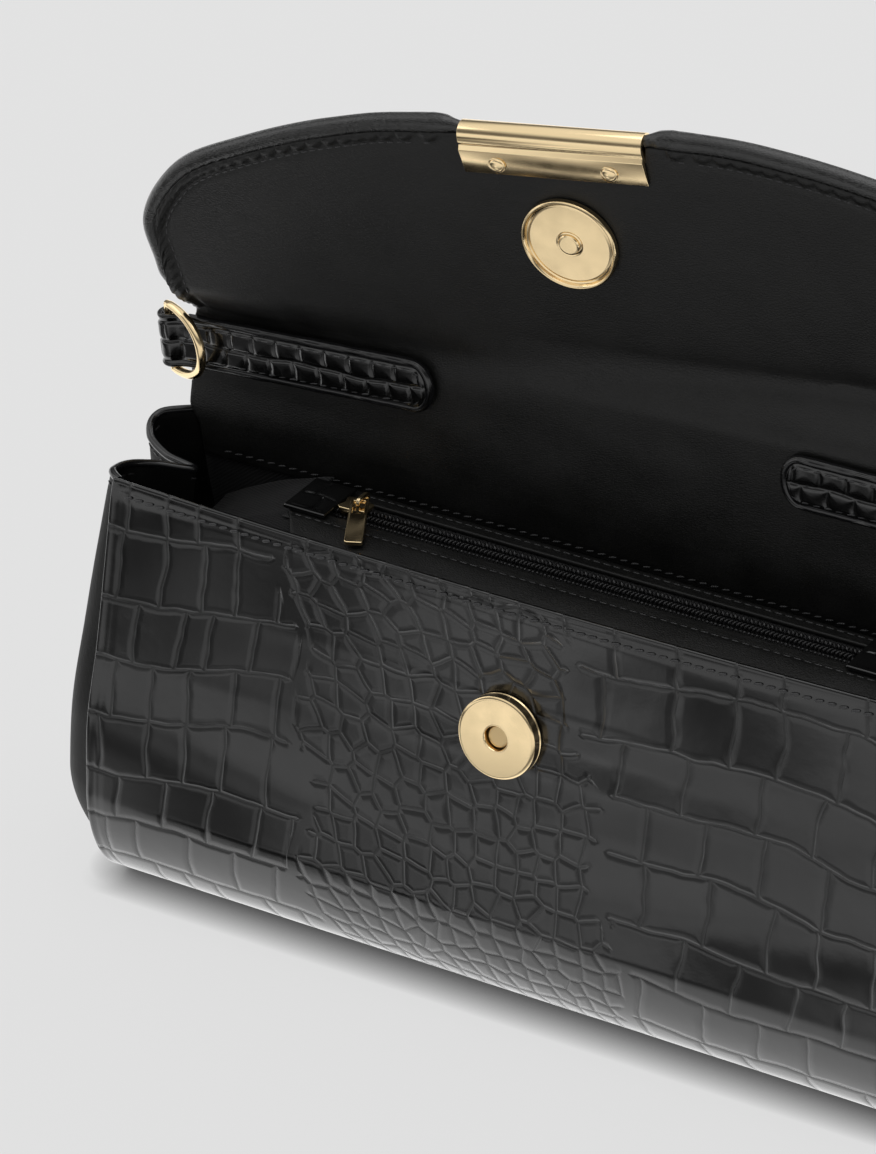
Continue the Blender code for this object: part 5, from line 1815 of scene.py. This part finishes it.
@dataclass
class Carry:
    """The strap tabs folded round their D-rings."""

    width: float = 0.0146
    sheet: float = 0.0025
    reach: float = 0.0755
    tip: float = 0.80
    eye: float = 0.0029
    edge: float = 0.0012
    lip: float = 0.00072
    lip_run: float = 0.0165
    lip_sink: float = 0.0006
    face_inset: float = 0.62
    edge_start: float = 0.0060
    seam_start: float = 0.0105
    seam_room: float = 0.0016
    foot_start: float = 0.0026
    foot_room: float = 0.0008
    scale_pitch: float = 6.6
    scale_shift: float = 2.6
    scale_cut: float = 0.34
    face_length: float = 82.0
    tabs: tuple[tuple[str, int, float, float, float], ...] = (
        ("left", -1, 0.1192, 0.0142, math.radians(4.1)),
        ("right", 1, 0.1257, 0.0226, math.radians(-0.8)),
    )
    ring_wire: float = 0.0012
    ring_half: float = 0.0089
    ring_depth: float = 0.0135
    ring_fold: float = math.radians(25)

    def build(self) -> None:
        """Builds both tabs and both rings."""
        for name, side, across, along, rise in self.tabs:
            level = LINING_FACE + CLEAR + self.sheet / 2
            turn = Matrix.Rotation(-side * rise, 4, "Z")
            place = SPINE @ np.array(Matrix.Translation((side * across, along, level)) @ turn)
            self.tab(name, side, place)
            self.ring(name, side, place)

    def profile(self) -> tuple[Array, Array, Array]:
        """The strap's outer face seen from its side: round the ring's bar, then flat.

        Returns:
            Lengths along it, and its places inwards and out of the spine's plane.
        """
        angles = np.linspace(math.radians(-128), math.radians(-306), 60)
        round_x = self.eye * np.cos(angles)
        round_z = self.eye * np.sin(angles)
        neck_x, neck_z = round_x[-1], round_z[-1]
        flat = self.sheet / 2
        blend = np.linspace(0, 1, 24)[1:]
        neck_to = neck_x + 0.0052
        ends = ((neck_x, 0.0, neck_z), (0.8, 0.0, -0.6), (neck_to, 0.0, flat), (1.0, 0.0, 0.0))
        down = bend(*(np.tile(end, (len(blend), 1)) for end in ends), blend)
        x = np.concatenate((round_x, down[:, 0], [self.reach]))
        z = np.concatenate((round_z, down[:, 2], [flat]))
        run = np.concatenate(((0.0,), np.cumsum(np.hypot(np.diff(x), np.diff(z)))))
        return run, x, z

    @property
    def half(self) -> float:
        """Half a tab's width."""
        return self.width / 2

    @property
    def tip_start(self) -> float:
        """Where a tab's rounded tip starts along it."""
        return self.reach - self.half * self.tip

    def tip_x(self, y: Array, room: float) -> Array:
        """Where a line that runs inside a tab's outline ends along it."""
        share = np.clip(y / (self.half - room), -1, 1)
        return self.tip_start + (self.half * self.tip - room) * np.sqrt(1 - share * share)

    def around(self, start: float, room: float) -> Pair:
        """A path up one side of a tab, round its tip and back.

        Args:
            start: Where it starts along the tab.
            room: How far inside the outline it runs.

        Returns:
            Its places along and across the tab.
        """
        arc = np.linspace(-math.pi / 2, math.pi / 2, 40)
        straight = np.linspace(start, self.tip_start, 60)[:-1]
        beside = np.full(len(straight), self.half - room)
        tip = self.tip_start + (self.half * self.tip - room) * np.cos(arc)
        x = np.concatenate((straight, tip, straight[::-1]))
        return x, np.concatenate((-beside, (self.half - room) * np.sin(arc), beside))

    def tab(self, name: str, side: int, place: Array) -> None:
        """One strap tab: embossed on its face, painted and stitched round its edge."""
        self._leather(name, side, place)
        self._border(name, side, place)
        x, y = self.around(self.seam_start, self.edge + self.seam_room)
        seam = placed(place, xyz(-side * x, y, self.sheet / 2 + 0.00004))
        thread = Stitching(pitch=0.0029, half=0.0011, radius=0.00028, slant=math.radians(8))
        thread.seam(f"strap_{name}_seam", seam, place[:3, 2], "flap_spine", "croc_leather")

    def _leather(self, name: str, side: int, place: Array) -> None:
        """A tab's embossed upper layer, with the plain one below it."""
        run, px, pz = self.profile()
        room = self.edge * self.face_inset
        inner = self.half - room

        def spot(across: Array, down: Array) -> Pair:
            y = (across - 0.5) * 2 * inner
            return y, down * (run[-1] - (self.reach - self.tip_x(y, room)))

        def surface(across: Array, down: Array) -> Array:
            y, at = spot(across, down)
            return placed(place, xyz(-side * np.interp(at, run, px), y, np.interp(at, run, pz)))

        def relief(u: Array, v: Array, across: Array, down: Array) -> Pair:
            mm_u, mm_v = u / MM, v / MM
            row = 0.35 * np.sin(mm_v / 5.3 + side) + 0.15 * np.sin(mm_v / 2.1)
            gap = np.abs(mm_u - row)
            shift = np.where(mm_u > row, 0.0, self.scale_shift)
            wander = 0.7 * np.sin((mm_v + shift) / 9.7 + 2.0 * side) + 0.4 * np.sin(mm_u / 1.7)
            place_in = np.mod(mm_v + shift + wander, self.scale_pitch)
            cross = np.minimum(place_in, self.scale_pitch - place_in)
            lines = self.scale_cut * np.exp(-((gap / 0.42) ** 2))
            ties = 0.30 * np.exp(-((cross / 0.38) ** 2))
            groove = np.maximum(lines, ties)
            pillow = 0.22 * (1 - np.exp(-np.minimum(gap, cross) / 1.1))
            edge = np.minimum(inner / MM - np.abs(mm_u), (1 - down) * self.face_length)
            channel = np.exp(-(((edge - 1.15) / 0.5) ** 2))
            on = smooth_step(edge, 1.5, 2.3)
            height = (pillow - groove) * on - 0.22 * channel
            return height * MM, groove / self.scale_cut * on

        label = f"strap_{name}_leather"
        skin = Skin(label, surface, spot, 44, 220, 0.0012, relief, flip=side, inner=(6, 60))
        leather = joined(label, [skin.build(), self._underside(name, side, place)])
        finish(leather, CROC, "flap_spine", "croc_leather", f"strap_tab_{name}")

    def _border(self, name: str, side: int, place: Array) -> None:
        """A tab's painted edge, with the lips beside the ring's eye."""
        x, y = self.around(self.edge_start, self.edge)
        swell = 1.0 + 0.05 * np.sin(x / 0.0031) + 0.04 * np.sin(x / 0.0013 + 1.0)
        points = placed(place, xyz(-side * x, y, 0.0001))
        pieces = [wire(f"strap_{name}_edge", points, self.edge, shares=swell)]
        run, px, pz = self.profile()
        inside = run < self.lip_run
        x, z = px[inside], pz[inside]
        near = np.hypot(x, z) < self.eye * 1.02
        shrink = 1 - self.lip_sink / self.eye
        x = np.where(near, x * shrink, x)
        z = np.where(near, z * shrink, z - self.lip_sink)
        for row, end in enumerate((-1, 1)):
            lip = placed(place, xyz(-side * x, end * (self.half - self.lip), z))
            pieces.append(wire(f"strap_{name}_lip_{row}", lip, self.lip))
        finish(joined(f"strap_{name}_edge", pieces), EDGE, "flap_spine", "croc_leather")

    def _underside(self, name: str, side: int, place: Array) -> Object:
        """The strap's plain lower layer, which lies on the spine's lining."""
        room = self.foot_room
        outline = [(self.foot_start, room - self.half), (self.foot_start, self.half - room)]
        for step in range(25):
            angle = math.pi / 2 - math.pi * step / 24
            x = self.tip_start + (self.half * self.tip - room) * math.cos(angle)
            outline.append((x, (self.half - room) * math.sin(angle)))
        outline = [(-side * x, y) for x, y in outline]
        foot = plate(f"strap_{name}_foot", outline, -self.sheet / 2, 0.0001, 0.0002)
        return settle(foot, place, 35)

    def ring(self, name: str, side: int, place: Array) -> None:
        """One D-ring: a straight bar in the tab's eye and a squared bow."""
        inwards = np.array((-side * math.cos(self.ring_fold), 0.0, math.sin(self.ring_fold)))
        path = []
        steps = 72
        for step in range(steps + 1):
            angle = -math.pi / 2 + math.pi * step / steps
            reach = self.ring_depth * max(math.cos(angle), 0.0) ** 0.75
            path.append(inwards * reach + np.array((0.0, self.ring_half * math.sin(angle), 0.0)))
        ring = wire(f"dee_{name}", placed(place, np.array(path)), self.ring_wire, cyclic=True)
        finish(ring, GOLD, f"ring_{name}", "gold_metal", f"d_ring_{name}")


@dataclass
class Zip:
    """The zip in the mouth: folded facings, woven tapes, spiral coils, end tabs, slider and pull."""

    coil_gap: float = 0.0005
    coil_width: float = 0.0018
    coil_thick: float = 0.0018
    pitch: float = 0.0011
    tape_width: float = 0.0080
    facing_start: float = 0.0051
    facing_sheet: float = 0.0010
    facing_width: float = 0.022
    seam_end: float = 0.003
    seam_inset: float = 0.0032
    front_drop: float = 0.0050
    front_cut: float = 0.0130
    back_drop: float = 0.0075
    slider_left: float = -0.0634
    slider_length: float = 0.0082
    slider_width: float = 0.0062
    pull_length: float = 0.0165
    pull_width: float = 0.0046
    pull_sheet: float = 0.0011
    pull_turn: float = math.radians(25)
    pull_fall: float = math.radians(10.3)
    pull_bar: float = 0.0052
    pull_frame: float = 0.0009
    pull_axis: tuple[float, float] = (-0.00235, 0.1075)
    pull_seat: tuple[float, float, float] = (0.0003, 0.0021, 0.0)
    arch_ahead: float = 0.0020
    tab_depth: float = 0.0150
    plate_sheet: float = 0.0010
    arch_corner: float = 0.52

    def build(self) -> None:
        """Builds the zip from its facings to its pull."""
        for name, side in (("front", -1), ("back", 1)):
            for make in (self.facing, self.tape, self.coil):
                make(name, side)
        for name, start in (("left", ZIP_LEFT), ("right", ZIP_RIGHT - ZIP_TAB_LENGTH)):
            self.end_tab(name, start)
        self.slider()
        self.pull()

    def along(self, across: Array) -> Array:
        """The place along the zip of a share of its length."""
        return ZIP_LEFT + across * (ZIP_RIGHT - ZIP_LEFT)

    def coil_ends(self) -> tuple[float, float]:
        """Where the coils start and end, between the tabs."""
        return ZIP_LEFT + ZIP_TAB_LENGTH + CLEAR, ZIP_RIGHT - ZIP_TAB_LENGTH - CLEAR

    def facing_point(self, side: int, x: Array, down: Array, lift: float) -> Array:
        """A facing's middle surface, lifted; down runs from beside the coil to the wall."""
        drop = self.front_drop if side < 0 else self.back_drop
        middle = ZIP_HEIGHT + self.facing_sheet / 2
        end_level = middle - drop
        wall = half_depth(np.full_like(x, end_level + self.facing_sheet), WALL_LAYERS + LINING_SHEET + CLEAR)
        end = side * (wall + bow(x, np.full_like(x, end_level), side))
        start = ZIP_CENTRE_Y + side * self.facing_start
        y = start + (end - start) * down
        flat = ZIP_CENTRE_Y + side * (self.coil_gap + self.tape_width)
        share = np.clip((y - flat) / (end - flat), 0.0, 1.0)
        return xyz(x, y, middle - drop * share**1.5 + lift)

    def facing(self, name: str, side: int) -> None:
        """One facing: lining leather folded along the zip, stitched beside its fold."""
        cut = self.front_cut if side < 0 else 0.0

        def surface(across: Array, down: Array) -> Array:
            left = ZIP_LEFT + cut * down
            x = left + across * (ZIP_RIGHT - left)
            return self.facing_point(side, x, down, self.facing_sheet / 2)

        def length(across: Array, down: Array) -> Pair:
            return self.along(across), down * self.facing_width

        def relief(u: Array, v: Array, across: Array, down: Array) -> Pair:
            at = np.abs(surface(across, down)[:, 1] - ZIP_CENTRE_Y - side * self.facing_start) / MM
            fold = 0.16 * np.exp(-((at / 1.1) ** 2))
            seam = -0.20 * np.exp(-(((at - self.seam_inset / MM) / 0.6) ** 2))
            soft = 0.10 * wrinkles(u, v, 0.012, 5.0 + side) * smooth_step(at, 4.0, 9.0)
            return (fold + seam + soft) * MM, np.zeros_like(u)

        sheet = self.facing_sheet
        skin = Skin(f"zip_{name}_leather", surface, length, 200, 40, sheet, relief, flip=side, inner=(30, 6))
        finish(skin.build(), NAPPA, "bag_body", "smooth_leather", f"zip_facing_{name}")
        x = np.linspace(ZIP_LEFT + self.seam_end, ZIP_RIGHT - self.seam_end, 240)
        path = self.facing_point(side, x, np.zeros_like(x), self.facing_sheet / 2)
        path[:, 1] += side * self.seam_inset
        thread = Stitching(pitch=0.0027, half=0.0010, radius=0.00026, slant=0.0, sink=0.0002)
        thread.seam(f"zip_{name}_seam", path, UPWARDS, "bag_body", "smooth_leather")

    def tape(self, name: str, side: int) -> None:
        """One woven tape, with the row of sewing that holds its coil."""
        top = ZIP_HEIGHT - CLEAR

        def surface(across: Array, down: Array) -> Array:
            x = self.along(across)
            y = ZIP_CENTRE_Y + side * (self.coil_gap + self.tape_width * down)
            return xyz(x, y, top)

        def length(across: Array, down: Array) -> Pair:
            return self.along(across), down * self.tape_width

        skin = Skin(f"zip_{name}_weave", surface, length, 60, 12, TAPE_SHEET, flip=side, inner=(20, 4))
        finish(skin.build(), TAPE, "bag_body", "zip_nylon", f"zip_tape_{name}")
        x = np.linspace(*self.coil_ends(), 300)
        y = np.full_like(x, ZIP_CENTRE_Y + side * (self.coil_gap + self.coil_width + 0.00034))
        path = xyz(x, y, ZIP_HEIGHT + 0.0002)
        slant = math.radians(35) * side
        thread = Stitching(pitch=self.pitch, half=0.00036, radius=0.00034, slant=slant, sink=0.0)
        thread.seam(f"zip_{name}_coil_sewing", path, UPWARDS, "bag_body", "zip_nylon")

    def coil(self, name: str, side: int) -> None:
        """One spiral coil of nylon, its turns slanted and set between those of the other."""
        start, end = self.coil_ends()
        turns = int((end - start) / self.pitch)
        steps = 12
        radius = 0.00030
        angle = np.arange(turns * steps + 1) * 2 * math.pi / steps
        half_y = self.coil_width / 2 - radius
        half_z = self.coil_thick / 2 - radius
        shift = 0.0 if side < 0 else self.pitch / 2
        lean = 0.00022 * np.cos(angle)
        x = start + 0.0004 + self.pitch * angle / (2 * math.pi) * 0.992 + shift * 0.9 - lean
        x = np.clip(x, start, end)
        y = ZIP_CENTRE_Y + side * (self.coil_gap + self.coil_width / 2 + half_y * np.cos(angle))
        z = ZIP_HEIGHT + self.coil_thick / 2 + half_z * np.sin(angle)
        coil = wire(f"zip_{name}_spiral", xyz(x, y, z), radius, round_steps=2)
        finish(coil, COIL, "bag_body", "zip_nylon", f"zip_coil_{name}")

    def end_tab(self, name: str, start: float) -> None:
        """A leather tab that covers one end of the coils."""
        top = ZIP_HEIGHT + self.facing_sheet + CLEAR + LEATHER

        def surface(across: Array, down: Array) -> Array:
            x = start + ZIP_TAB_LENGTH * across
            y = ZIP_CENTRE_Y + self.tab_depth * (down - 0.5)
            return xyz(x, y, top - 0.0001)

        def relief(u: Array, v: Array, across: Array, down: Array) -> Pair:
            mm_u, mm_v = u / MM, v / MM
            gap = np.abs(mm_v - 7.2 - 0.8 * np.sin(mm_u / 3.0))
            tie = np.abs(mm_u - np.where(mm_v > 7.2, 4.4, 6.8) - 0.5 * np.sin(mm_v / 2.0))
            near = np.minimum(gap, tie)
            groove = np.exp(-((near / 0.40) ** 2))
            edge = np.minimum(np.minimum(mm_u, 11.0 - mm_u), np.minimum(mm_v, 15.0 - mm_v))
            on = smooth_step(edge, 0.4, 1.4)
            return (0.18 * (1 - np.exp(-near)) - 0.30 * groove) * on * MM, groove * on

        length = laid(ZIP_TAB_LENGTH, self.tab_depth, 0.0)
        skin = Skin(f"zip_end_{name}", surface, length, 40, 52, LEATHER - 0.0001, relief, inner=(6, 8))
        finish(skin.build(), CROC, "bag_body", "croc_leather", f"zip_tab_{name}")

    def slider(self) -> None:
        """The slider: two shaped plates, their side walls, the divider and the arch."""
        left, long = self.slider_left, self.slider_length
        half = self.slider_width / 2
        top = ZIP_HEIGHT + self.coil_thick + CLEAR
        foot = ZIP_HEIGHT - CLEAR - TAPE_SHEET - CLEAR - self.plate_sheet
        shape = [
            (left + 0.0012, half),
            (left + long * 0.52, half * 0.97),
            (left + long * 0.80, half * 0.78),
            (left + long - 0.0004, half * 0.74),
            (left + long, half * 0.62),
        ]
        shape = [(x, -y) for x, y in shape] + shape[::-1]
        shape += [(left + 0.0003, half * 0.72), (left + 0.0010, 0.0), (left + 0.0003, -half * 0.72)]
        shape = [(x, y + ZIP_CENTRE_Y) for x, y in shape]
        pieces = []
        for label, level in (("slider_top", top), ("slider_foot", foot)):
            pieces.append(plate(label, shape, level, level + self.plate_sheet, 0.00028))
        for side in (-1, 1):
            edge = ZIP_CENTRE_Y + side * (half - 0.00025)
            low = (left + 0.0014, edge - 0.00022, top - 0.0007)
            high = (left + long * 0.55, edge + 0.00022, top + 0.0003)
            pieces.append(block("slider_wall", low, high, 0.0001))
        low = (left + 0.0006, ZIP_CENTRE_Y - 0.0002, foot + 0.0005)
        high = (left + 0.0026, ZIP_CENTRE_Y + 0.0002, top + 0.0005)
        pieces.append(block("slider_wedge", low, high, 0.00008))
        outside = self.arch_side(0.0028, 0.0034, top + 0.0008)
        inside = self.arch_side(0.0019, 0.0023, top + 0.0008)
        arch = plate("slider_arch", outside + inside[::-1], -0.00045, 0.00045, 0.00016)
        arch_at = left + long / 2 + self.arch_ahead
        turn = np.array(((0, 0, 1, arch_at), (1, 0, 0, ZIP_CENTRE_Y), (0, 1, 0, 0), (0, 0, 0, 1)), float)
        pieces.append(settle(arch, turn, 35))
        slider = joined("zip_runner", pieces)
        settle(slider, None, 35)
        finish(slider, GOLD, "slider", "gold_metal", "zip_slider")

    def arch_side(self, reach: float, rise: float, foot: float) -> list[tuple[float, float]]:
        """One side of the slider's arch: a squared half round."""
        points = []
        for step in range(25):
            angle = math.pi * step / 24
            y = -reach * np.sign(math.cos(angle)) * abs(math.cos(angle)) ** self.arch_corner
            points.append((float(y), foot + rise * math.sin(angle) ** self.arch_corner))
        return points

    def pull(self) -> None:
        """The pull: a plain tag with a window for the arch, thicker at its foot."""
        half, bar = self.pull_width / 2, self.pull_sheet / 2
        corner = half * 0.34
        outline = []
        corners = (
            (half - bar, 0.0, bar, 0.0),
            (half - corner, corner - self.pull_length, corner, -math.pi / 2),
            (corner - half, corner - self.pull_length, corner, -math.pi),
            (bar - half, 0.0, bar, -math.pi * 1.5),
        )
        for x, y, radius, begin in corners:
            start = begin + math.pi / 2
            for step in range(7):
                angle = start - math.pi / 2 * step / 6
                outline.append((x + radius * math.cos(angle), y + radius * math.sin(angle)))
        reach, foot = half - self.pull_frame, -self.pull_bar
        window = [(reach, -bar), (reach, foot), (-reach, foot), (-reach, -bar)]
        tag = plate("pull_tag", outline, -bar, bar, 0.00022, [window])
        arch_at = self.slider_left + self.slider_length / 2 + self.arch_ahead
        axis = Vector((arch_at, ZIP_CENTRE_Y + self.pull_axis[0], self.pull_axis[1]))
        axis += Matrix.Rotation(self.pull_turn, 3, "Z") @ Vector(self.pull_seat)
        place = Matrix.Translation(axis) @ Matrix.Rotation(self.pull_turn, 4, "Z")
        place = place @ Matrix.Rotation(self.pull_fall, 4, "X")
        settle(tag, np.array(place), 35)
        finish(tag, GOLD, "pull", "gold_metal", "zip_pull")


@dataclass
class Stiffeners:
    """The CAD nodes that keep their shape: card, washers and magnet, all inside the leather."""

    cards: tuple[str, ...] = ("front_board", "back_board", "base_board", "spine_board", "flap_board")
    washers: tuple[str, ...] = ("snap_washer", "stud_washer")
    magnets: tuple[str, ...] = ("snap_magnet",)

    def dress(self) -> None:
        """Gives each of them its real material."""
        for names, material in ((self.cards, CARD), (self.washers, STEEL), (self.magnets, IRON)):
            for name in names:
                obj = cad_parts[name]
                for slot in obj.material_slots:
                    slot.material = material_of(material)
                LOG.info("%s: %s", name, material.name)


@dataclass(frozen=True)
class Lamp:
    """A soft square lamp, aimed at a height above the middle of the floor."""

    name: str
    place: tuple[float, float, float]
    aim_height: float
    size: float
    power: float


@dataclass
class Studio:
    """The pale floor, the soft light and the camera of the photograph."""

    camera_at: tuple[float, float, float] = (0.6068, -1.0868, 0.8091)
    right: tuple[float, float, float] = (0.8616, 0.5075, 0.0)
    up: tuple[float, float, float] = (-0.2499, 0.4243, 0.8704)
    back: tuple[float, float, float] = (0.4417, -0.7499, 0.4924)
    lens: float = 124.8
    floor_colour: str = "#E6E6E6"
    seen_colour: str = "#E1E1E1"
    # Painted reflection: for mirror-like reflections only, the floor glows in bands ahead of the bag, with
    # painted shade ovals and painted glint spots
    glow_most: float = 1.5
    glow_ahead: tuple[tuple[float, float], ...] = (
        (0.0, 0.85),
        (0.07, 0.95),
        (0.10, 0.70),
        (0.14, 0.32),
        (0.19, 0.10),
        (0.25, 0.14),
        (0.33, 0.50),
        (0.42, 0.58),
        (1.0, 0.62),
    )
    shades: tuple[tuple[float, ...], ...] = (
        (-0.45, -0.38, 0.22, 0.26, 0.10, 1.0),
        (-0.078, -0.092, 0.050, 0.020, 0.05, 1.0),
    )
    painted_glint_spots: tuple[tuple[float, ...], ...] = (
        (-0.079, -0.162, 0.038, 0.026, 0.80, 0.0),
        (-0.112, -0.258, 0.034, 0.036, 0.45, 0.0),
    )
    lamps: tuple[Lamp, ...] = (
        Lamp("overhead", (0.1, 0.25, 1.7), 0.05, 1.4, 7.0),
        Lamp("left_window", (-1.5, -0.3, 0.9), 0.06, 1.0, 3.5),
        Lamp("behind", (0.5, 1.6, 1.0), 0.1, 0.9, 3.0),
    )
    surround: tuple[float, ...] = (0.80, 0.80, 0.805, 1.0)
    sky_up: tuple[tuple[float, float], ...] = (
        (0.0, 1.0),
        (0.10, 1.0),
        (0.22, 0.15),
        (0.45, 0.15),
        (0.70, 0.90),
    )
    # Painted shadow: how far the painted contact shadow reaches in the glow that the camera sees
    painted_shadow_reach: float = 0.009

    def build(self) -> None:
        """Sets the stage."""
        self.camera()
        self.floor()
        self.world()
        self.lights()
        scene = bpy.context.scene
        scene.view_settings.view_transform = "Standard"

    def camera(self) -> None:
        """The camera at the photograph's place and angle."""
        data = bpy.data.cameras.new("camera")
        data.sensor_fit = "VERTICAL"
        data.sensor_height = 24
        data.lens = self.lens
        camera = bpy.data.objects.new("camera", data)
        rows = Matrix((self.right, self.up, self.back)).transposed().to_4x4()
        camera.matrix_world = Matrix.Translation(self.camera_at) @ rows
        bpy.context.scene.collection.objects.link(camera)
        bpy.context.scene.camera = camera

    def floor(self) -> None:
        """A wide pale floor. The camera sees an even glow with a painted contact shadow; the bag's gloss
        mirrors a glow with painted bright bands and spots and painted dark ovals, as lamps and flags would
        light it.
        """
        bpy.ops.object.select_all(action="DESELECT")
        bpy.ops.mesh.primitive_plane_add(size=8.0, location=(0.0, 0.0, -0.0002))
        floor = bpy.context.active_object
        floor.name = "floor"
        made = bpy.data.materials.new("studio_floor")
        made.use_nodes = True
        tree = made.node_tree
        shader = tree.nodes["Principled BSDF"]
        colour = linear(self.floor_colour)
        feed(tree, shader, {"Roughness": 0.9, "Specular IOR Level": 0.1, "Base Color": colour})
        parts = add(tree, "SeparateXYZ", {"Vector": add(tree, "TexCoord").outputs["Object"]}).outputs
        ahead = ramp(tree, parts["Y"], 0.0, -0.80, 0.0, 1.0)
        level = profile(tree, ahead, self.glow_ahead)
        lit = calc(tree, "MULTIPLY", level, self.glow_most)
        # Painted reflection: dark ovals and bright spots in the glow that the bag's gloss mirrors
        for operation, spots in (("MULTIPLY", self.shades), ("ADD", self.painted_glint_spots)):
            for spot in spots:
                lit = calc(tree, operation, lit, self.spot(tree, parts, spot))
        plain = shader.outputs[0]
        glow = add(tree, "Emission", {"Color": (1.0, 1.0, 1.0, 1.0), "Strength": lit}).outputs[0]
        # Painted contact shadow: ambient occlusion darkens the even glow that the camera sees
        near = add(tree, "AmbientOcclusion", {"Distance": self.painted_shadow_reach}).outputs["AO"]
        even = add(tree, "Emission", {"Color": linear(self.seen_colour), "Strength": near}).outputs[0]
        seen = add(tree, "MixShader", {0: 0.90, 1: plain, 2: even}).outputs[0]
        paths = add(tree, "LightPath").outputs
        plain = add(tree, "MixShader", {0: paths["Is Camera Ray"], 1: plain, 2: seen}).outputs[0]
        both = add(tree, "MixShader", {0: paths["Is Glossy Ray"], 1: plain, 2: glow}).outputs[0]
        feed(tree, tree.nodes["Material Output"], {"Surface": both})
        floor.data.materials.append(made)

    def spot(self, tree: Tree, parts: Any, spot: tuple[float, ...]) -> Socket:
        """An oval on the floor: its middle, its two radii, and the value inside and outside it."""
        x, y, wide, deep, inside, outside = spot
        across = calc(tree, "DIVIDE", calc(tree, "SUBTRACT", parts["X"], x), wide)
        along = calc(tree, "DIVIDE", calc(tree, "SUBTRACT", parts["Y"], y), deep)
        both = add(tree, "CombineXYZ", {"X": across, "Y": along}).outputs[0]
        away = add(tree, "VectorMath", {0: both}, operation="LENGTH").outputs["Value"]
        return ramp(tree, away, 0.75, 1.45, inside, outside)

    def world(self) -> None:
        """A soft pale surround, dark at a middle height to mirror-like reflections."""
        world = bpy.data.worlds.new("surround")
        bpy.context.scene.world = world
        world.use_nodes = True
        tree = world.node_tree
        up = add(tree, "SeparateXYZ", {"Vector": add(tree, "TexCoord").outputs["Generated"]}).outputs["Z"]
        rise = profile(tree, up, self.sky_up)
        glossy = add(tree, "LightPath").outputs["Is Glossy Ray"]
        level = mix(tree, glossy, self.surround, rise)
        feed(tree, tree.nodes["Background"], {"Strength": 1.0, "Color": level})

    def lights(self) -> None:
        """Large soft lamps above, to the left and behind."""
        for lamp in self.lamps:
            data = bpy.data.lights.new(lamp.name, "AREA")
            data.size = lamp.size
            data.energy = lamp.power
            obj = bpy.data.objects.new(lamp.name, data)
            obj.location = lamp.place
            way = Vector((0.0, 0.0, lamp.aim_height)) - Vector(lamp.place)
            obj.rotation_euler = way.to_track_quat("-Z", "Y").to_euler()
            bpy.context.scene.collection.objects.link(obj)


def main() -> None:
    """Builds every sub-assembly in order, then sets the stage."""
    logging.basicConfig(level=logging.INFO, format="%(name)s: %(message)s")
    body = Body()
    body.build()
    FlapSkins().build(body)
    FlapEdge().build()
    Snap().build()
    Carry().build()
    Zip().build()
    Stiffeners().dress()
    Studio().build()


if __name__ == "__main__":
    main()
